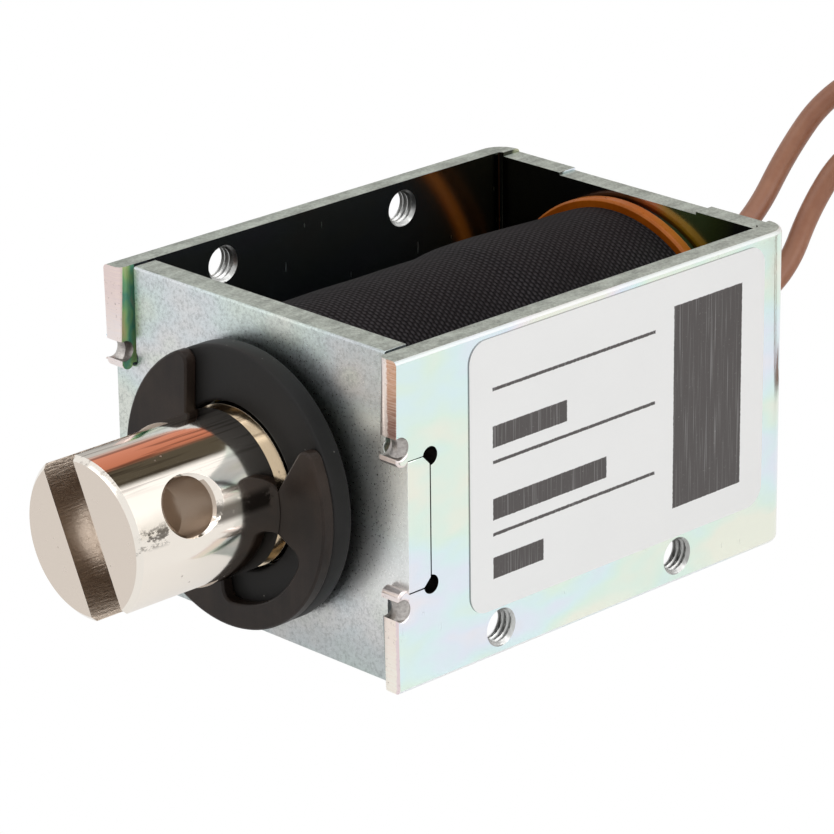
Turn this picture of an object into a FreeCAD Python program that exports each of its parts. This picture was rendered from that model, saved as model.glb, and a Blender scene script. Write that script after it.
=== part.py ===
import FreeCAD, Part
import math
import os

from FreeCAD import Vector

# Push pull solenoid: a coil in an open steel frame draws in a slotted plunger.
# Millimetres. +Z is up, the slotted end points to -Y, the labelled side plate is at +X.
# The origin is the middle of the lower side of the envelope without the leads.

# Frame: one sheet bent to a U, open at the front, top and bottom
frame_width = 43.0
frame_height = 35.0
frame_depth = 56.5            # front plate's front face to back plate's rear face
side_sheet = 2.5
bend_inner_radius = 0.5
sheared_edge_round = 0.55
back_drop = 0.45              # back plate's upper edge below the side plates' upper edges
back_recess_depth = 0.3       # shallow step in the back plate's upper edge
back_recess_width = 20.0
axis_height = 17.0            # plunger's axis above the lower edges

# Front plate, held by a tab each side in the notches of the side plates
front_sheet = 3.0
horn_reach = 1.4              # side plates' horns stand this far in front of the front plate
tab_height = 13.8
tab_middle_height = 17.4
tab_corner = 0.9
notch_clearance = 0.12
notch_relief_radius = 1.0
notch_relief_inset = 0.25     # relief's centre inside the notch, from its upper or lower edge
notch_relief_lead = 0.1       # relief's centre in front of the notch's rear edge
plate_relief_radius = 0.85
plate_relief_bite = 0.15      # how far the relief cuts into the tab's edge
plate_side_gap = 0.6
plate_edge_round = 0.3
stake_lip_radius = 0.8        # rounded lip that staking pushes over the tab
stake_lip_rise = 0.25
stake_groove_radius = 1.1     # mark of the staking punch across the horn
stake_groove_offset = 1.5     # from the horn's end to the mark

# Tapped holes of the side plates, at their minor diameter
tapped_radius = 1.65
tapped_mouth_radius = 2.05
tapped_first_y = 12.8
tapped_pitch = 26.1
tapped_edge_distance = 3.0

# Plunger and push rod
plunger_radius = 8.5
rest_gap = 1.0                # between bumper washer and front plate, as shown
nose_reach = 23.4             # slotted end in front of the front plate, as shown
nose_chamfer = 0.5
slot_width = 5.0
slot_depth = 12.5
slot_lean = 25.0              # degrees that the slot leans from upright at rest
pin_hole_radius = 3.0
pin_hole_mouth = 0.3
pin_hole_setback = 7.7        # from the slotted end to the pin's axis
groove_depth = 1.0
plunger_depth = 22.0          # straight part behind the front plate's face, drawn in
tail_length = 7.0
tail_tip_radius = 4.0
tail_shoulder = 0.3
rod_radius = 2.0
rod_grip = 12.0               # length pressed in the plunger
rod_reach = 10.5              # rod behind the back plate, as shown
rod_chamfer = 0.4

# Retaining clip and rubber washer
clip_thickness = 1.5
clip_radius = 14.7
clip_window_radius = 12.0
clip_mouth_lean = 18.0        # degrees that the mouth leans from upright, towards +X
clip_mouth_half_width = 6.75  # at the prongs' tips
clip_mouth_flare = 0.276
clip_end_prong_angle = 92.0   # from the mouth to the window's near side
clip_middle_prong_half = 16.0
clip_corner = 1.2
groove_side_clearance = 0.05
bumper_thickness = 2.5
bumper_radius = 14.65
bumper_bore_clearance = 0.3
bumper_edge_break = 0.35

# Fits
running_clearance = 0.08
seat_clearance = 0.05

# Coil, bobbin and guide tube
tube_wall = 0.6
tube_setback = 0.3
bobbin_wall = 0.95
flange_radius = 16.9
flange_thickness = 1.5
flange_edge_break = 0.25
front_washer_thickness = 0.8
rear_washer_thickness = 0.5
rear_washer_inset = 0.6       # inside the flange's rim
winding_radius = 15.3
tape_thickness = 0.8
splice_step_depth = 2.5
splice_step_length = 11.0

# Backstop in the back plate
boss_radius = 5.0
boss_head_reach = 0.5
boss_head_extra = 0.6
seat_gap = 0.45
residual_thickness = 0.3
residual_margin = 0.25

# Leads
lead_radius = 1.2
lead_a_angle = 54.0           # degrees round the axis from +X
lead_b_angle = 26.0
splice_radius = 1.0
splice_length = 8.0
bushing_wall = 0.5
bushing_lip = 0.7
bushing_lip_thickness = 0.6
tip_radius = 0.5
tip_length = 8.0

# Label
label_thickness = 0.12
label_front_y = 8.4
label_length = 43.5
label_low_z = 5.3
label_height = 28.9
label_corner = 2.2

# Overshoot of the solids that cut
over = 1.0

# Sizes that follow
half_width = frame_width / 2
inner_half = half_width - side_sheet
front_y = -(frame_depth + rod_reach - nose_reach) / 2
back_y = front_y + frame_depth
back_inner_y = back_y - side_sheet
plate_back_y = front_y + front_sheet
nose_y = front_y - nose_reach
bumper_back_y = front_y - rest_gap
clip_front_y = bumper_back_y - bumper_thickness - clip_thickness
tube_inner = plunger_radius + running_clearance
tube_outer = tube_inner + tube_wall
bobbin_inner = tube_outer + seat_clearance
bobbin_outer = bobbin_inner + bobbin_wall
bobbin_front_y = plate_back_y + front_washer_thickness
bobbin_back_y = back_inner_y - rear_washer_thickness
winding_front_y = bobbin_front_y + flange_thickness
winding_back_y = bobbin_back_y - flange_thickness
step_y = winding_back_y - splice_step_length
step_radius = winding_radius - splice_step_depth
seat_y = front_y + plunger_depth + seat_gap
seat_end_y = seat_y + tail_length
tail_y = seat_y - seat_gap - rest_gap
tail_end_y = tail_y + tail_length
lead_ring = winding_radius - splice_step_depth / 2
tab_low = tab_middle_height - tab_height / 2
tab_high = tab_middle_height + tab_height / 2


def lead_centre(angle):
    """X and Z of a lead's hole on the ring of the splices."""
    turn = math.radians(angle)
    return lead_ring * math.cos(turn), axis_height + lead_ring * math.sin(turn)


lead_a_x, lead_a_z = lead_centre(lead_a_angle)
lead_b_x, lead_b_z = lead_centre(lead_b_angle)
lead_places = [(lead_a_x, lead_a_z), (lead_b_x, lead_b_z)]
lead_start_y = winding_back_y
bushing_inner = lead_radius + seat_clearance
bushing_outer = bushing_inner + bushing_wall
bushing_hole_radius = bushing_outer + seat_clearance

# Routes of the leads, points chosen by hand: out of the back plate, up past the
# frame's corner, over, down beside the object and along the surface it stands on
lead_a_route = [
    (lead_a_x, lead_start_y, lead_a_z),
    (lead_a_x, back_y + 3.6, lead_a_z),
    (8.5, back_y + 9.0, 31.5),
    (8.7, back_y + 13.3, 37.1),
    (11.0, back_y + 16.8, 43.2),
    (17.0, back_y + 19.8, 47.7),
    (24.6, back_y + 22.2, 49.0),
    (32.0, back_y + 24.6, 45.4),
    (36.4, back_y + 26.4, 38.2),
    (38.2, back_y + 28.0, 29.8),
    (38.4, back_y + 30.2, 20.8),
    (37.0, back_y + 33.6, 12.0),
    (33.6, back_y + 38.2, 4.9),
    (28.2, back_y + 42.8, lead_radius),
    (21.2, back_y + 45.6, lead_radius),
    (13.6, back_y + 45.4, lead_radius),
    (6.8, back_y + 42.4, lead_radius),
]
lead_b_route = [
    (lead_b_x, lead_start_y, lead_b_z),
    (lead_b_x, back_y + 3.4, lead_b_z),
    (13.3, back_y + 8.7, 26.3),
    (13.1, back_y + 12.3, 32.0),
    (15.2, back_y + 15.2, 38.0),
    (20.8, back_y + 17.4, 42.2),
    (28.2, back_y + 19.0, 42.8),
    (35.4, back_y + 20.4, 38.8),
    (39.6, back_y + 21.6, 32.2),
    (41.6, back_y + 23.2, 24.2),
    (41.8, back_y + 26.0, 15.6),
    (40.6, back_y + 30.6, 7.8),
    (37.8, back_y + 36.6, 2.6),
    (34.4, back_y + 43.2, lead_radius),
    (29.6, back_y + 49.2, lead_radius),
    (22.6, back_y + 52.6, lead_radius),
    (15.0, back_y + 52.4, lead_radius),
]


def block(x0, x1, y0, y1, z0, z1):
    """Box between two corners."""
    return Part.makeBox(x1 - x0, y1 - y0, z1 - z0, Vector(x0, y0, z0))


def bar(radius, y0, y1, x=0.0, z=axis_height):
    """Cylinder along Y."""
    return Part.makeCylinder(radius, y1 - y0, Vector(x, y0, z), Vector(0, 1, 0))


def pipe(outer, inner, y0, y1, x=0.0, z=axis_height):
    """Hollow cylinder along Y."""
    return bar(outer, y0, y1, x, z).cut(bar(inner, y0 - over, y1 + over, x, z))


def turned(profile):
    """Solid turned about the plunger's axis from (radius, y) corners."""
    points = [Vector(radius, y, axis_height) for radius, y in profile]
    outline = Part.makePolygon(points + points[:1])
    return Part.Face(outline).revolve(Vector(0, 0, axis_height), Vector(0, 1, 0), 360)


def cross_pin(radius, x0, x1, y, z):
    """Cylinder along X."""
    return Part.makeCylinder(radius, x1 - x0, Vector(x0, y, z), Vector(1, 0, 0))


def mouth_cone(radius, mouth_radius, x_face, side, y, z):
    """Countersink in a side plate's face, opening towards side."""
    deep = mouth_radius - radius
    start = Vector(x_face - side * deep, y, z)
    return Part.makeCone(radius, mouth_radius + deep, 2 * deep, start, Vector(side, 0, 0))


def flat_edges(shape, z):
    """Edges of a shape that lie wholly in a level plane."""
    return [e for e in shape.Edges if all(abs(v.Point.z - z) < 1e-6 for v in e.Vertexes)]


def bent_sheet():
    """U of sheet with rounded bends and the rounded edges that shearing leaves."""
    outer_radius = bend_inner_radius + side_sheet
    start_y = front_y - horn_reach

    def outline(half, far_y, radius):
        c = math.sqrt(0.5) * radius
        left = Part.LineSegment(Vector(-half, start_y, 0), Vector(-half, far_y - radius, 0))
        bend_left = Part.Arc(Vector(-half, far_y - radius, 0),
                             Vector(-half + radius - c, far_y - radius + c, 0),
                             Vector(-half + radius, far_y, 0))
        back = Part.LineSegment(Vector(-half + radius, far_y, 0), Vector(half - radius, far_y, 0))
        bend_right = Part.Arc(Vector(half - radius, far_y, 0),
                              Vector(half - radius + c, far_y - radius + c, 0),
                              Vector(half, far_y - radius, 0))
        right = Part.LineSegment(Vector(half, far_y - radius, 0), Vector(half, start_y, 0))
        front = Part.LineSegment(Vector(half, start_y, 0), Vector(-half, start_y, 0))
        edges = [s.toShape() for s in (left, bend_left, back, bend_right, right, front)]
        return Part.Face(Part.Wire(edges)).extrude(Vector(0, 0, frame_height))

    solid = outline(half_width, back_y, outer_radius)
    rounded = [e for z in (0.0, frame_height) for e in flat_edges(solid, z)
               if e.BoundBox.YMax > start_y + 1e-6]
    solid = solid.makeFillet(sheared_edge_round, rounded)
    return solid.cut(outline(inner_half, back_inner_y, bend_inner_radius))


def stake_lip(side, z_end, away):
    """Rounded lip at a horn's end, pressed over the tab's front face."""
    x0, x1 = sorted((side * inner_half, side * half_width))
    z = z_end + away * stake_lip_rise
    bulge = cross_pin(stake_lip_radius, x0, x1, front_y - horn_reach + stake_lip_radius, z)
    in_front = block(x0, x1, front_y - horn_reach, front_y, z - 2 * stake_lip_radius, z + 2 * stake_lip_radius)
    return bulge.common(in_front)


def stake_groove(side, z_end, away):
    """Half-round mark that the staking punch leaves across a horn's front face."""
    x0, x1 = sorted((side * (inner_half - over), side * (half_width + over)))
    y = front_y - stake_groove_radius + notch_clearance
    return cross_pin(stake_groove_radius, x0, x1, y, z_end + away * stake_groove_offset)


def tapped_holes(side):
    """Tapped holes of a side plate with a countersink on each face."""
    x0, x1 = sorted((side * (inner_half - over), side * (half_width + over)))
    cuts = []
    for step in range(2):
        y = front_y + tapped_first_y + step * tapped_pitch
        for z in (tapped_edge_distance, frame_height - tapped_edge_distance):
            cuts.append(cross_pin(tapped_radius, x0, x1, y, z))
            cuts.append(mouth_cone(tapped_radius, tapped_mouth_radius, side * half_width, side, y, z))
            cuts.append(mouth_cone(tapped_radius, tapped_mouth_radius, side * inner_half, -side, y, z))
    return cuts


def frame_body():
    sheet = bent_sheet()
    notch_back = plate_back_y + notch_clearance
    low, high = tab_low - notch_clearance, tab_high + notch_clearance
    notch = block(-frame_width, frame_width, front_y - horn_reach - over, notch_back, low, high)
    reliefs = [cross_pin(notch_relief_radius, -frame_width, frame_width, notch_back - notch_relief_lead, z)
               for z in (low + notch_relief_inset, high - notch_relief_inset)]
    straight = half_width - bend_inner_radius - side_sheet
    drop = block(-straight, straight, back_inner_y - over, back_y + over,
                 frame_height - back_drop, frame_height + over)
    recess = block(-back_recess_width / 2, back_recess_width / 2, back_inner_y - over, back_y + over,
                   frame_height - back_drop - back_recess_depth, frame_height + over)
    boss_hole = bar(boss_radius + seat_clearance, back_inner_y - over, back_y + over)
    bushing_holes = [bar(bushing_hole_radius, back_inner_y - over, back_y + over, x, z)
                     for x, z in lead_places]
    body = sheet.cut([notch, drop, recess, boss_hole] + reliefs + bushing_holes
                     + tapped_holes(-1) + tapped_holes(1))
    ends = [(side, z, away) for side in (-1, 1) for z, away in ((high, 1), (low, -1))]
    body = body.fuse([stake_lip(*end) for end in ends])
    return body.cut([stake_groove(*end) for end in ends]).removeSplitter()


def front_plate():
    body_half = inner_half - plate_side_gap
    plate = block(-body_half, body_half, front_y, plate_back_y, 0, frame_height)
    front_edges = [e for z in (0.0, frame_height) for e in flat_edges(plate, z)
                   if abs(e.BoundBox.YMax - front_y) < 1e-6]
    plate = plate.makeFillet(plate_edge_round, front_edges)
    tab = block(-half_width, half_width, front_y, plate_back_y, tab_low, tab_high)
    rear_edges = [e for z in (tab_low, tab_high) for e in flat_edges(tab, z)
                  if abs(e.BoundBox.YMin - plate_back_y) < 1e-6]
    plate = plate.fuse(tab.makeChamfer(tab_corner, rear_edges))
    cuts = [bar(tube_outer + seat_clearance, front_y - over, plate_back_y + over)]
    reach = plate_relief_radius - plate_relief_bite
    for side in (-1, 1):
        for z in (tab_low - reach, tab_high + reach):
            cuts.append(bar(plate_relief_radius, front_y - over, plate_back_y + over, side * inner_half, z))
    return plate.cut(cuts).removeSplitter()


def plunger():
    groove_front = clip_front_y - groove_side_clearance
    groove_back = clip_front_y + clip_thickness + groove_side_clearance
    groove_radius = plunger_radius - groove_depth
    body = turned([
        (0, nose_y), (plunger_radius - nose_chamfer, nose_y), (plunger_radius, nose_y + nose_chamfer),
        (plunger_radius, groove_front), (groove_radius, groove_front),
        (groove_radius, groove_back), (plunger_radius, groove_back),
        (plunger_radius, tail_y), (plunger_radius - tail_shoulder, tail_y),
        (tail_tip_radius, tail_end_y), (0, tail_end_y)])
    slot = block(-slot_width / 2, slot_width / 2, nose_y - over, nose_y + slot_depth,
                 axis_height - 2 * plunger_radius, axis_height + 2 * plunger_radius)
    pin_y = nose_y + pin_hole_setback
    pin = cross_pin(pin_hole_radius, -2 * plunger_radius, 2 * plunger_radius, pin_y, axis_height)
    fork_cuts = [slot, pin]
    reach = math.sqrt(plunger_radius ** 2 - pin_hole_radius ** 2)
    for side in (-1, 1):
        start = Vector(side * (reach - pin_hole_mouth), pin_y, axis_height)
        fork_cuts.append(Part.makeCone(pin_hole_radius, pin_hole_radius + 3 * pin_hole_mouth,
                                       3 * pin_hole_mouth, start, Vector(side, 0, 0)))
    for cut in fork_cuts:
        cut.rotate(Vector(0, 0, axis_height), Vector(0, 1, 0), -slot_lean)
    rod_hole = bar(rod_radius, tail_end_y - rod_grip, tail_end_y + over)
    return body.cut(fork_cuts + [rod_hole])


def push_rod():
    start, end = tail_end_y - rod_grip, back_y + rod_reach
    return turned([(0, start), (rod_radius, start), (rod_radius, end - rod_chamfer),
                   (rod_radius - rod_chamfer, end), (0, end)])


def clip_window(mirror):
    """Gap between an end prong and the middle prong, with rounded corners."""
    inner, outer = plunger_radius / 2, clip_window_radius - clip_corner
    inset = math.degrees(clip_corner / outer)
    first = math.radians(clip_end_prong_angle + inset)
    last = math.radians(180 - clip_middle_prong_half - inset)

    def at(radius, angle):
        return Vector(mirror * radius * math.sin(angle), 0, radius * math.cos(angle))

    middle = (first + last) / 2
    edges = [Part.LineSegment(at(inner, first), at(outer, first)),
             Part.Arc(at(outer, first), at(outer, middle), at(outer, last)),
             Part.LineSegment(at(outer, last), at(inner, last)),
             Part.Arc(at(inner, last), at(inner, middle), at(inner, first))]
    face = Part.Face(Part.Wire([e.toShape() for e in edges]))
    return face.makeOffset2D(clip_corner).extrude(Vector(0, clip_thickness, 0))


def e_clip():
    """Retaining clip, modelled with its mouth upright and then leaned over."""
    groove_radius = plunger_radius - groove_depth
    disc = Part.makeCylinder(clip_radius, clip_thickness, Vector(0, 0, 0), Vector(0, 1, 0))
    hole = Part.makeCylinder(groove_radius + seat_clearance, clip_thickness, Vector(0, 0, 0), Vector(0, 1, 0))
    tip_z = math.sqrt((groove_radius + seat_clearance) ** 2 - clip_mouth_half_width ** 2)

    def half_mouth(z):
        return clip_mouth_half_width + clip_mouth_flare * (z - tip_z)

    low, high = tip_z - over, 2 * clip_radius
    corners = [Vector(-half_mouth(low), 0, low), Vector(half_mouth(low), 0, low),
               Vector(half_mouth(high), 0, high), Vector(-half_mouth(high), 0, high)]
    mouth = Part.Face(Part.makePolygon(corners + corners[:1])).extrude(Vector(0, clip_thickness, 0))
    clip = disc.cut([hole, mouth, clip_window(1), clip_window(-1)])
    tips = [e for e in clip.Edges
            if abs(e.tangentAt(e.FirstParameter).y) > 0.999
            and math.hypot(e.CenterOfMass.x, e.CenterOfMass.z) > clip_radius - 0.01
            and e.CenterOfMass.z > 0 and abs(e.CenterOfMass.x) > 1]
    clip = clip.makeFillet(clip_corner, tips)
    clip.rotate(Vector(0, 0, 0), Vector(0, 1, 0), clip_mouth_lean)
    clip.translate(Vector(0, clip_front_y, axis_height))
    return clip


def bumper_washer():
    washer = pipe(bumper_radius, plunger_radius + bumper_bore_clearance,
                  bumper_back_y - bumper_thickness, bumper_back_y)
    rims = [e for e in washer.Edges if e.Closed and abs(e.Curve.Radius - bumper_radius) < 1e-6]
    return washer.makeChamfer(bumper_edge_break, rims)


def guide_tube():
    return pipe(tube_outer, tube_inner, front_y + tube_setback, back_inner_y)


def bobbin():
    spool = pipe(bobbin_outer, bobbin_inner, bobbin_front_y, bobbin_back_y)
    flanges = []
    for y0 in (bobbin_front_y, winding_back_y):
        flange = pipe(flange_radius, bobbin_inner, y0, y0 + flange_thickness)
        rims = [e for e in flange.Edges if e.Closed and abs(e.Curve.Radius - flange_radius) < 1e-6]
        flanges.append(flange.makeChamfer(flange_edge_break, rims))
    spool = spool.fuse(flanges).removeSplitter()
    return spool.cut([bar(bushing_inner, winding_back_y - over, bobbin_back_y + over, x, z)
                      for x, z in lead_places])


def coil_winding():
    body = pipe(winding_radius, bobbin_outer, winding_front_y, step_y)
    last_layers = pipe(step_radius, bobbin_outer, step_y, winding_back_y)
    return body.fuse(last_layers).removeSplitter()


def splice_pad():
    pad = pipe(winding_radius, step_radius, step_y, winding_back_y)
    return pad.cut([bar(splice_radius, winding_back_y - splice_length, winding_back_y + over, x, z)
                    for x, z in lead_places])


def splice(x, z):
    return bar(splice_radius, winding_back_y - splice_length, winding_back_y, x, z)


def coil_tape():
    return pipe(winding_radius + tape_thickness, winding_radius, winding_front_y, winding_back_y)


def front_insulating_washer():
    return pipe(flange_radius, tube_outer + seat_clearance, plate_back_y, bobbin_front_y)


def rear_insulating_washer():
    washer = pipe(flange_radius - rear_washer_inset, tube_outer + seat_clearance, bobbin_back_y, back_inner_y)
    return washer.cut([bar(bushing_hole_radius, bobbin_back_y - over, back_inner_y + over, x, z)
                       for x, z in lead_places])


def backstop():
    core_radius = tube_inner - running_clearance
    head_radius = boss_radius + boss_head_extra
    bore = rod_radius + running_clearance
    return turned([
        (bore, seat_end_y), (tail_tip_radius, seat_end_y), (plunger_radius - tail_shoulder, seat_y),
        (core_radius, seat_y), (core_radius, back_inner_y), (boss_radius, back_inner_y),
        (boss_radius, back_y), (head_radius, back_y), (boss_radius, back_y + boss_head_reach),
        (bore, back_y + boss_head_reach)])


def residual_washer():
    return pipe(tail_tip_radius - residual_margin, rod_radius + residual_margin,
                seat_end_y - residual_thickness, seat_end_y)


def lead_bushing(x, z):
    sleeve = pipe(bushing_outer, bushing_inner, bobbin_back_y, back_y + bushing_lip_thickness, x, z)
    lip = pipe(bushing_outer + bushing_lip, bushing_inner, back_y, back_y + bushing_lip_thickness, x, z)
    return sleeve.fuse(lip).removeSplitter()


def lead(route, name):
    """Round lead along straight runs joined by tangent arcs as large as the runs allow."""
    points = [Vector(*p) for p in route]
    edges, here, tightest = [], points[0], math.inf
    for before, corner, after in zip(points, points[1:], points[2:]):
        run_in, run_out = corner.sub(before), after.sub(corner)
        half_turn = run_in.getAngle(run_out) / 2
        reach = 0.45 * min(run_in.Length, run_out.Length)
        radius = reach / math.tan(half_turn)
        tightest = min(tightest, radius)
        way_in, way_out = run_in.normalize(), run_out.normalize()
        start, end = corner.sub(way_in * reach), corner.add(way_out * reach)
        inwards = way_out.sub(way_in).normalize()
        middle = corner.add(inwards * (radius / math.cos(half_turn) - radius))
        edges += [Part.LineSegment(here, start).toShape(), Part.Arc(start, middle, end).toShape()]
        here = end
    edges.append(Part.LineSegment(here, points[-1]).toShape())
    path = Part.Wire(edges)
    section = Part.Wire(Part.makeCircle(lead_radius, points[0], points[1].sub(points[0])))
    tube = path.makePipeShell([section], True, False)
    expected = math.pi * lead_radius ** 2 * path.Length
    print("%s: length %.1f mm, tightest radius %.1f mm, volume over section times length %.4f"
          % (name, path.Length, tightest, tube.Volume / expected))
    return tube


def lead_tip(route):
    """Stripped and tinned end that goes on in line with the lead."""
    last, end = Vector(*route[-2]), Vector(*route[-1])
    return Part.makeCylinder(tip_radius, tip_length, end, end.sub(last))


def label():
    low_y = front_y + label_front_y
    sheet = block(half_width, half_width + label_thickness, low_y, low_y + label_length,
                  label_low_z, label_low_z + label_height)
    corners = [e for e in sheet.Edges if abs(e.tangentAt(e.FirstParameter).x) > 0.999]
    return sheet.makeFillet(label_corner, corners)


def build():
    return {
        "frame_body": frame_body(),
        "front_plate": front_plate(),
        "plunger": plunger(),
        "push_rod": push_rod(),
        "e_clip": e_clip(),
        "bumper_washer": bumper_washer(),
        "guide_tube": guide_tube(),
        "bobbin": bobbin(),
        "coil_winding": coil_winding(),
        "splice_pad": splice_pad(),
        "splice_a": splice(lead_a_x, lead_a_z),
        "splice_b": splice(lead_b_x, lead_b_z),
        "coil_tape": coil_tape(),
        "front_insulating_washer": front_insulating_washer(),
        "rear_insulating_washer": rear_insulating_washer(),
        "backstop": backstop(),
        "residual_washer": residual_washer(),
        "lead_bushing_a": lead_bushing(lead_a_x, lead_a_z),
        "lead_bushing_b": lead_bushing(lead_b_x, lead_b_z),
        "lead_a": lead(lead_a_route, "lead_a"),
        "lead_b": lead(lead_b_route, "lead_b"),
        "lead_tip_a": lead_tip(lead_a_route),
        "lead_tip_b": lead_tip(lead_b_route),
        "label": label(),
    }


os.makedirs("parts", exist_ok=True)
for node, shape in build().items():
    box = shape.BoundBox
    print("%-24s solids %d valid %s volume %9.1f  x %.2f..%.2f y %.2f..%.2f z %.2f..%.2f" % (
        node, len(shape.Solids), shape.isValid(), shape.Volume,
        box.XMin, box.XMax, box.YMin, box.YMax, box.ZMin, box.ZMax))
    shape.exportStep("parts/%s.step" % node)
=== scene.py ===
"""Looks of an open-frame push pull solenoid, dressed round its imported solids.

Lengths are in metres unless a name says mm. +Y runs from the slotted end of the plunger to the
push rod, +Z is up and +X points to the labelled side plate.
"""

import logging
import math
from dataclasses import dataclass
from enum import Enum
from typing import Callable, Iterable, Mapping, Sequence

import bmesh
import bpy
from mathutils import Matrix, Vector


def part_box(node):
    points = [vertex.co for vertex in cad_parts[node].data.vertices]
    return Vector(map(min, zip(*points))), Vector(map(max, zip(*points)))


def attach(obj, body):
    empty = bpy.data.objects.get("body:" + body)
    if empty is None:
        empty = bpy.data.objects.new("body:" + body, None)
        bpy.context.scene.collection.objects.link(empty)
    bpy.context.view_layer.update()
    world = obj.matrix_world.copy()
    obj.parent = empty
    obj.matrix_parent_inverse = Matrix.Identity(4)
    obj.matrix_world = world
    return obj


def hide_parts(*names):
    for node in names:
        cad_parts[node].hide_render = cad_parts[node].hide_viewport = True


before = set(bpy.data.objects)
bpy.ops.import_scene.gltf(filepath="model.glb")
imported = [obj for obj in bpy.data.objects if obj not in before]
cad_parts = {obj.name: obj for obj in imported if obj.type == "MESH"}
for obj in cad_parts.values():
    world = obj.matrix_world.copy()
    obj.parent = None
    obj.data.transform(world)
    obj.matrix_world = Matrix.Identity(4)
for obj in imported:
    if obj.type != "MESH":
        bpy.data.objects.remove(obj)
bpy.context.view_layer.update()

MM = 0.001
log = logging.getLogger("solenoid")

Colour = tuple[float, float, float]


# Node trees

class Signal:
    """A socket that arithmetic can be written on; each operator adds a Math node."""

    def __init__(self, tree: "NodeTree", socket: bpy.types.NodeSocket) -> None:
        """Keeps the tree and the output socket that this value comes from."""
        self.tree = tree
        self.socket = socket

    def math(self, operation: str, *others: "Signal | float") -> "Signal":
        """Adds a Math node whose first value is this signal.

        Args:
            operation: name of the Math node's operation.
            others: the node's further values.

        Returns:
            The node's result.
        """
        values = dict(enumerate((self, *others)))
        return self.tree.add("ShaderNodeMath", {"operation": operation}, values)

    def __add__(self, other: "Signal | float") -> "Signal":
        """Sum."""
        return self.math("ADD", other)

    def __radd__(self, other: float) -> "Signal":
        """Sum with a number on the left."""
        return self.math("ADD", other)

    def __sub__(self, other: "Signal | float") -> "Signal":
        """Difference."""
        return self.math("SUBTRACT", other)

    def __rsub__(self, other: float) -> "Signal":
        """Difference with a number on the left."""
        return self.tree.add("ShaderNodeMath", {"operation": "SUBTRACT"}, {0: other, 1: self})

    def __mul__(self, other: "Signal | float") -> "Signal":
        """Product."""
        return self.math("MULTIPLY", other)

    def __rmul__(self, other: float) -> "Signal":
        """Product with a number on the left."""
        return self.math("MULTIPLY", other)

    def __truediv__(self, other: "Signal | float") -> "Signal":
        """Quotient."""
        return self.math("DIVIDE", other)

    def clamped(self) -> "Signal":
        """The signal kept between 0 and 1."""
        return self.math("MAXIMUM", 0.0).math("MINIMUM", 1.0)

    def step(self, low: float, high: float) -> "Signal":
        """Smooth step of the signal.

        Args:
            low: where the step is 0; it may lie above high.
            high: where the step is 1.

        Returns:
            The step.
        """
        ends = (low, high, 0.0, 1.0) if low < high else (high, low, 1.0, 0.0)
        settings = {"interpolation_type": "SMOOTHSTEP"}
        return self.tree.add("ShaderNodeMapRange", settings, dict(enumerate((self, *ends))))

    def band(self, low: float, full: float, last: float, high: float) -> "Signal":
        """Smooth rise from 0 at low to 1 at full, and fall from 1 at last to 0 at high."""
        return self.step(low, full) * self.step(high, last)


class NodeTree:
    """A node tree under construction; one method makes every kind of node."""

    def __init__(self, tree: bpy.types.NodeTree) -> None:
        """Keeps the tree and empties it."""
        self.tree = tree
        self.tree.nodes.clear()

    def add(self, kind: str, settings: Mapping | None = None, values: Mapping | None = None,
            output: int | str = 0) -> Signal:
        """Adds a node.

        Args:
            kind: type name of the node.
            settings: the node's own properties, set before its sockets; "stops" fills a ramp.
            values: numbers, colours or signals for the input sockets, by index or name.
            output: which output the returned signal reads.

        Returns:
            The chosen output.
        """
        node = self.tree.nodes.new(kind)
        for name, value in (settings or {}).items():
            if name == "stops":
                self.fill_ramp(node.color_ramp, value)
            else:
                setattr(node, name, value)
        for key, value in (values or {}).items():
            self.feed(node.inputs[key], value)
        return Signal(self, node.outputs[output]) if node.outputs else Signal(self, None)

    def feed(self, socket: bpy.types.NodeSocket, value: object) -> None:
        """Links a signal to an input socket, or writes a plain value on it.

        Args:
            socket: the input socket.
            value: a signal, a number, a vector, a colour or a material.
        """
        if isinstance(value, Signal):
            self.tree.links.new(value.socket, socket)
        elif socket.type == "RGBA" and len(value) == 3:
            socket.default_value = (*value, 1.0)
        else:
            socket.default_value = value

    @staticmethod
    def fill_ramp(ramp: bpy.types.ColorRamp, stops: Sequence[tuple[float, Colour]]) -> None:
        """Writes stops on a colour ramp.

        Args:
            ramp: the ramp, with its first two stops.
            stops: positions and their colours, in rising order.
        """
        while len(ramp.elements) < len(stops):
            ramp.elements.new(1.0)
        for element, (position, colour) in zip(ramp.elements, stops):
            element.position = position
            element.color = (*colour, 1.0)

    def axes(self, vector: Signal) -> tuple[Signal, Signal, Signal]:
        """The three parts of a vector."""
        node = self.add("ShaderNodeSeparateXYZ", None, {0: vector}).socket.node
        return tuple(Signal(self, socket) for socket in node.outputs)

    def ramp(self, value: Signal, stops: Sequence[tuple[float, Colour]]) -> Signal:
        """Colours along a value."""
        return self.add("ShaderNodeValToRGB", {"stops": stops}, {0: value})

    def mix(self, share: Signal | float, first: Signal | Colour, second: Signal | Colour) -> Signal:
        """Mix of two colours: all first where share is 0, all second where it is 1."""
        values = {0: share, 6: first, 7: second}
        return self.add("ShaderNodeMix", {"data_type": "RGBA"}, values, output=2)


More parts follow.
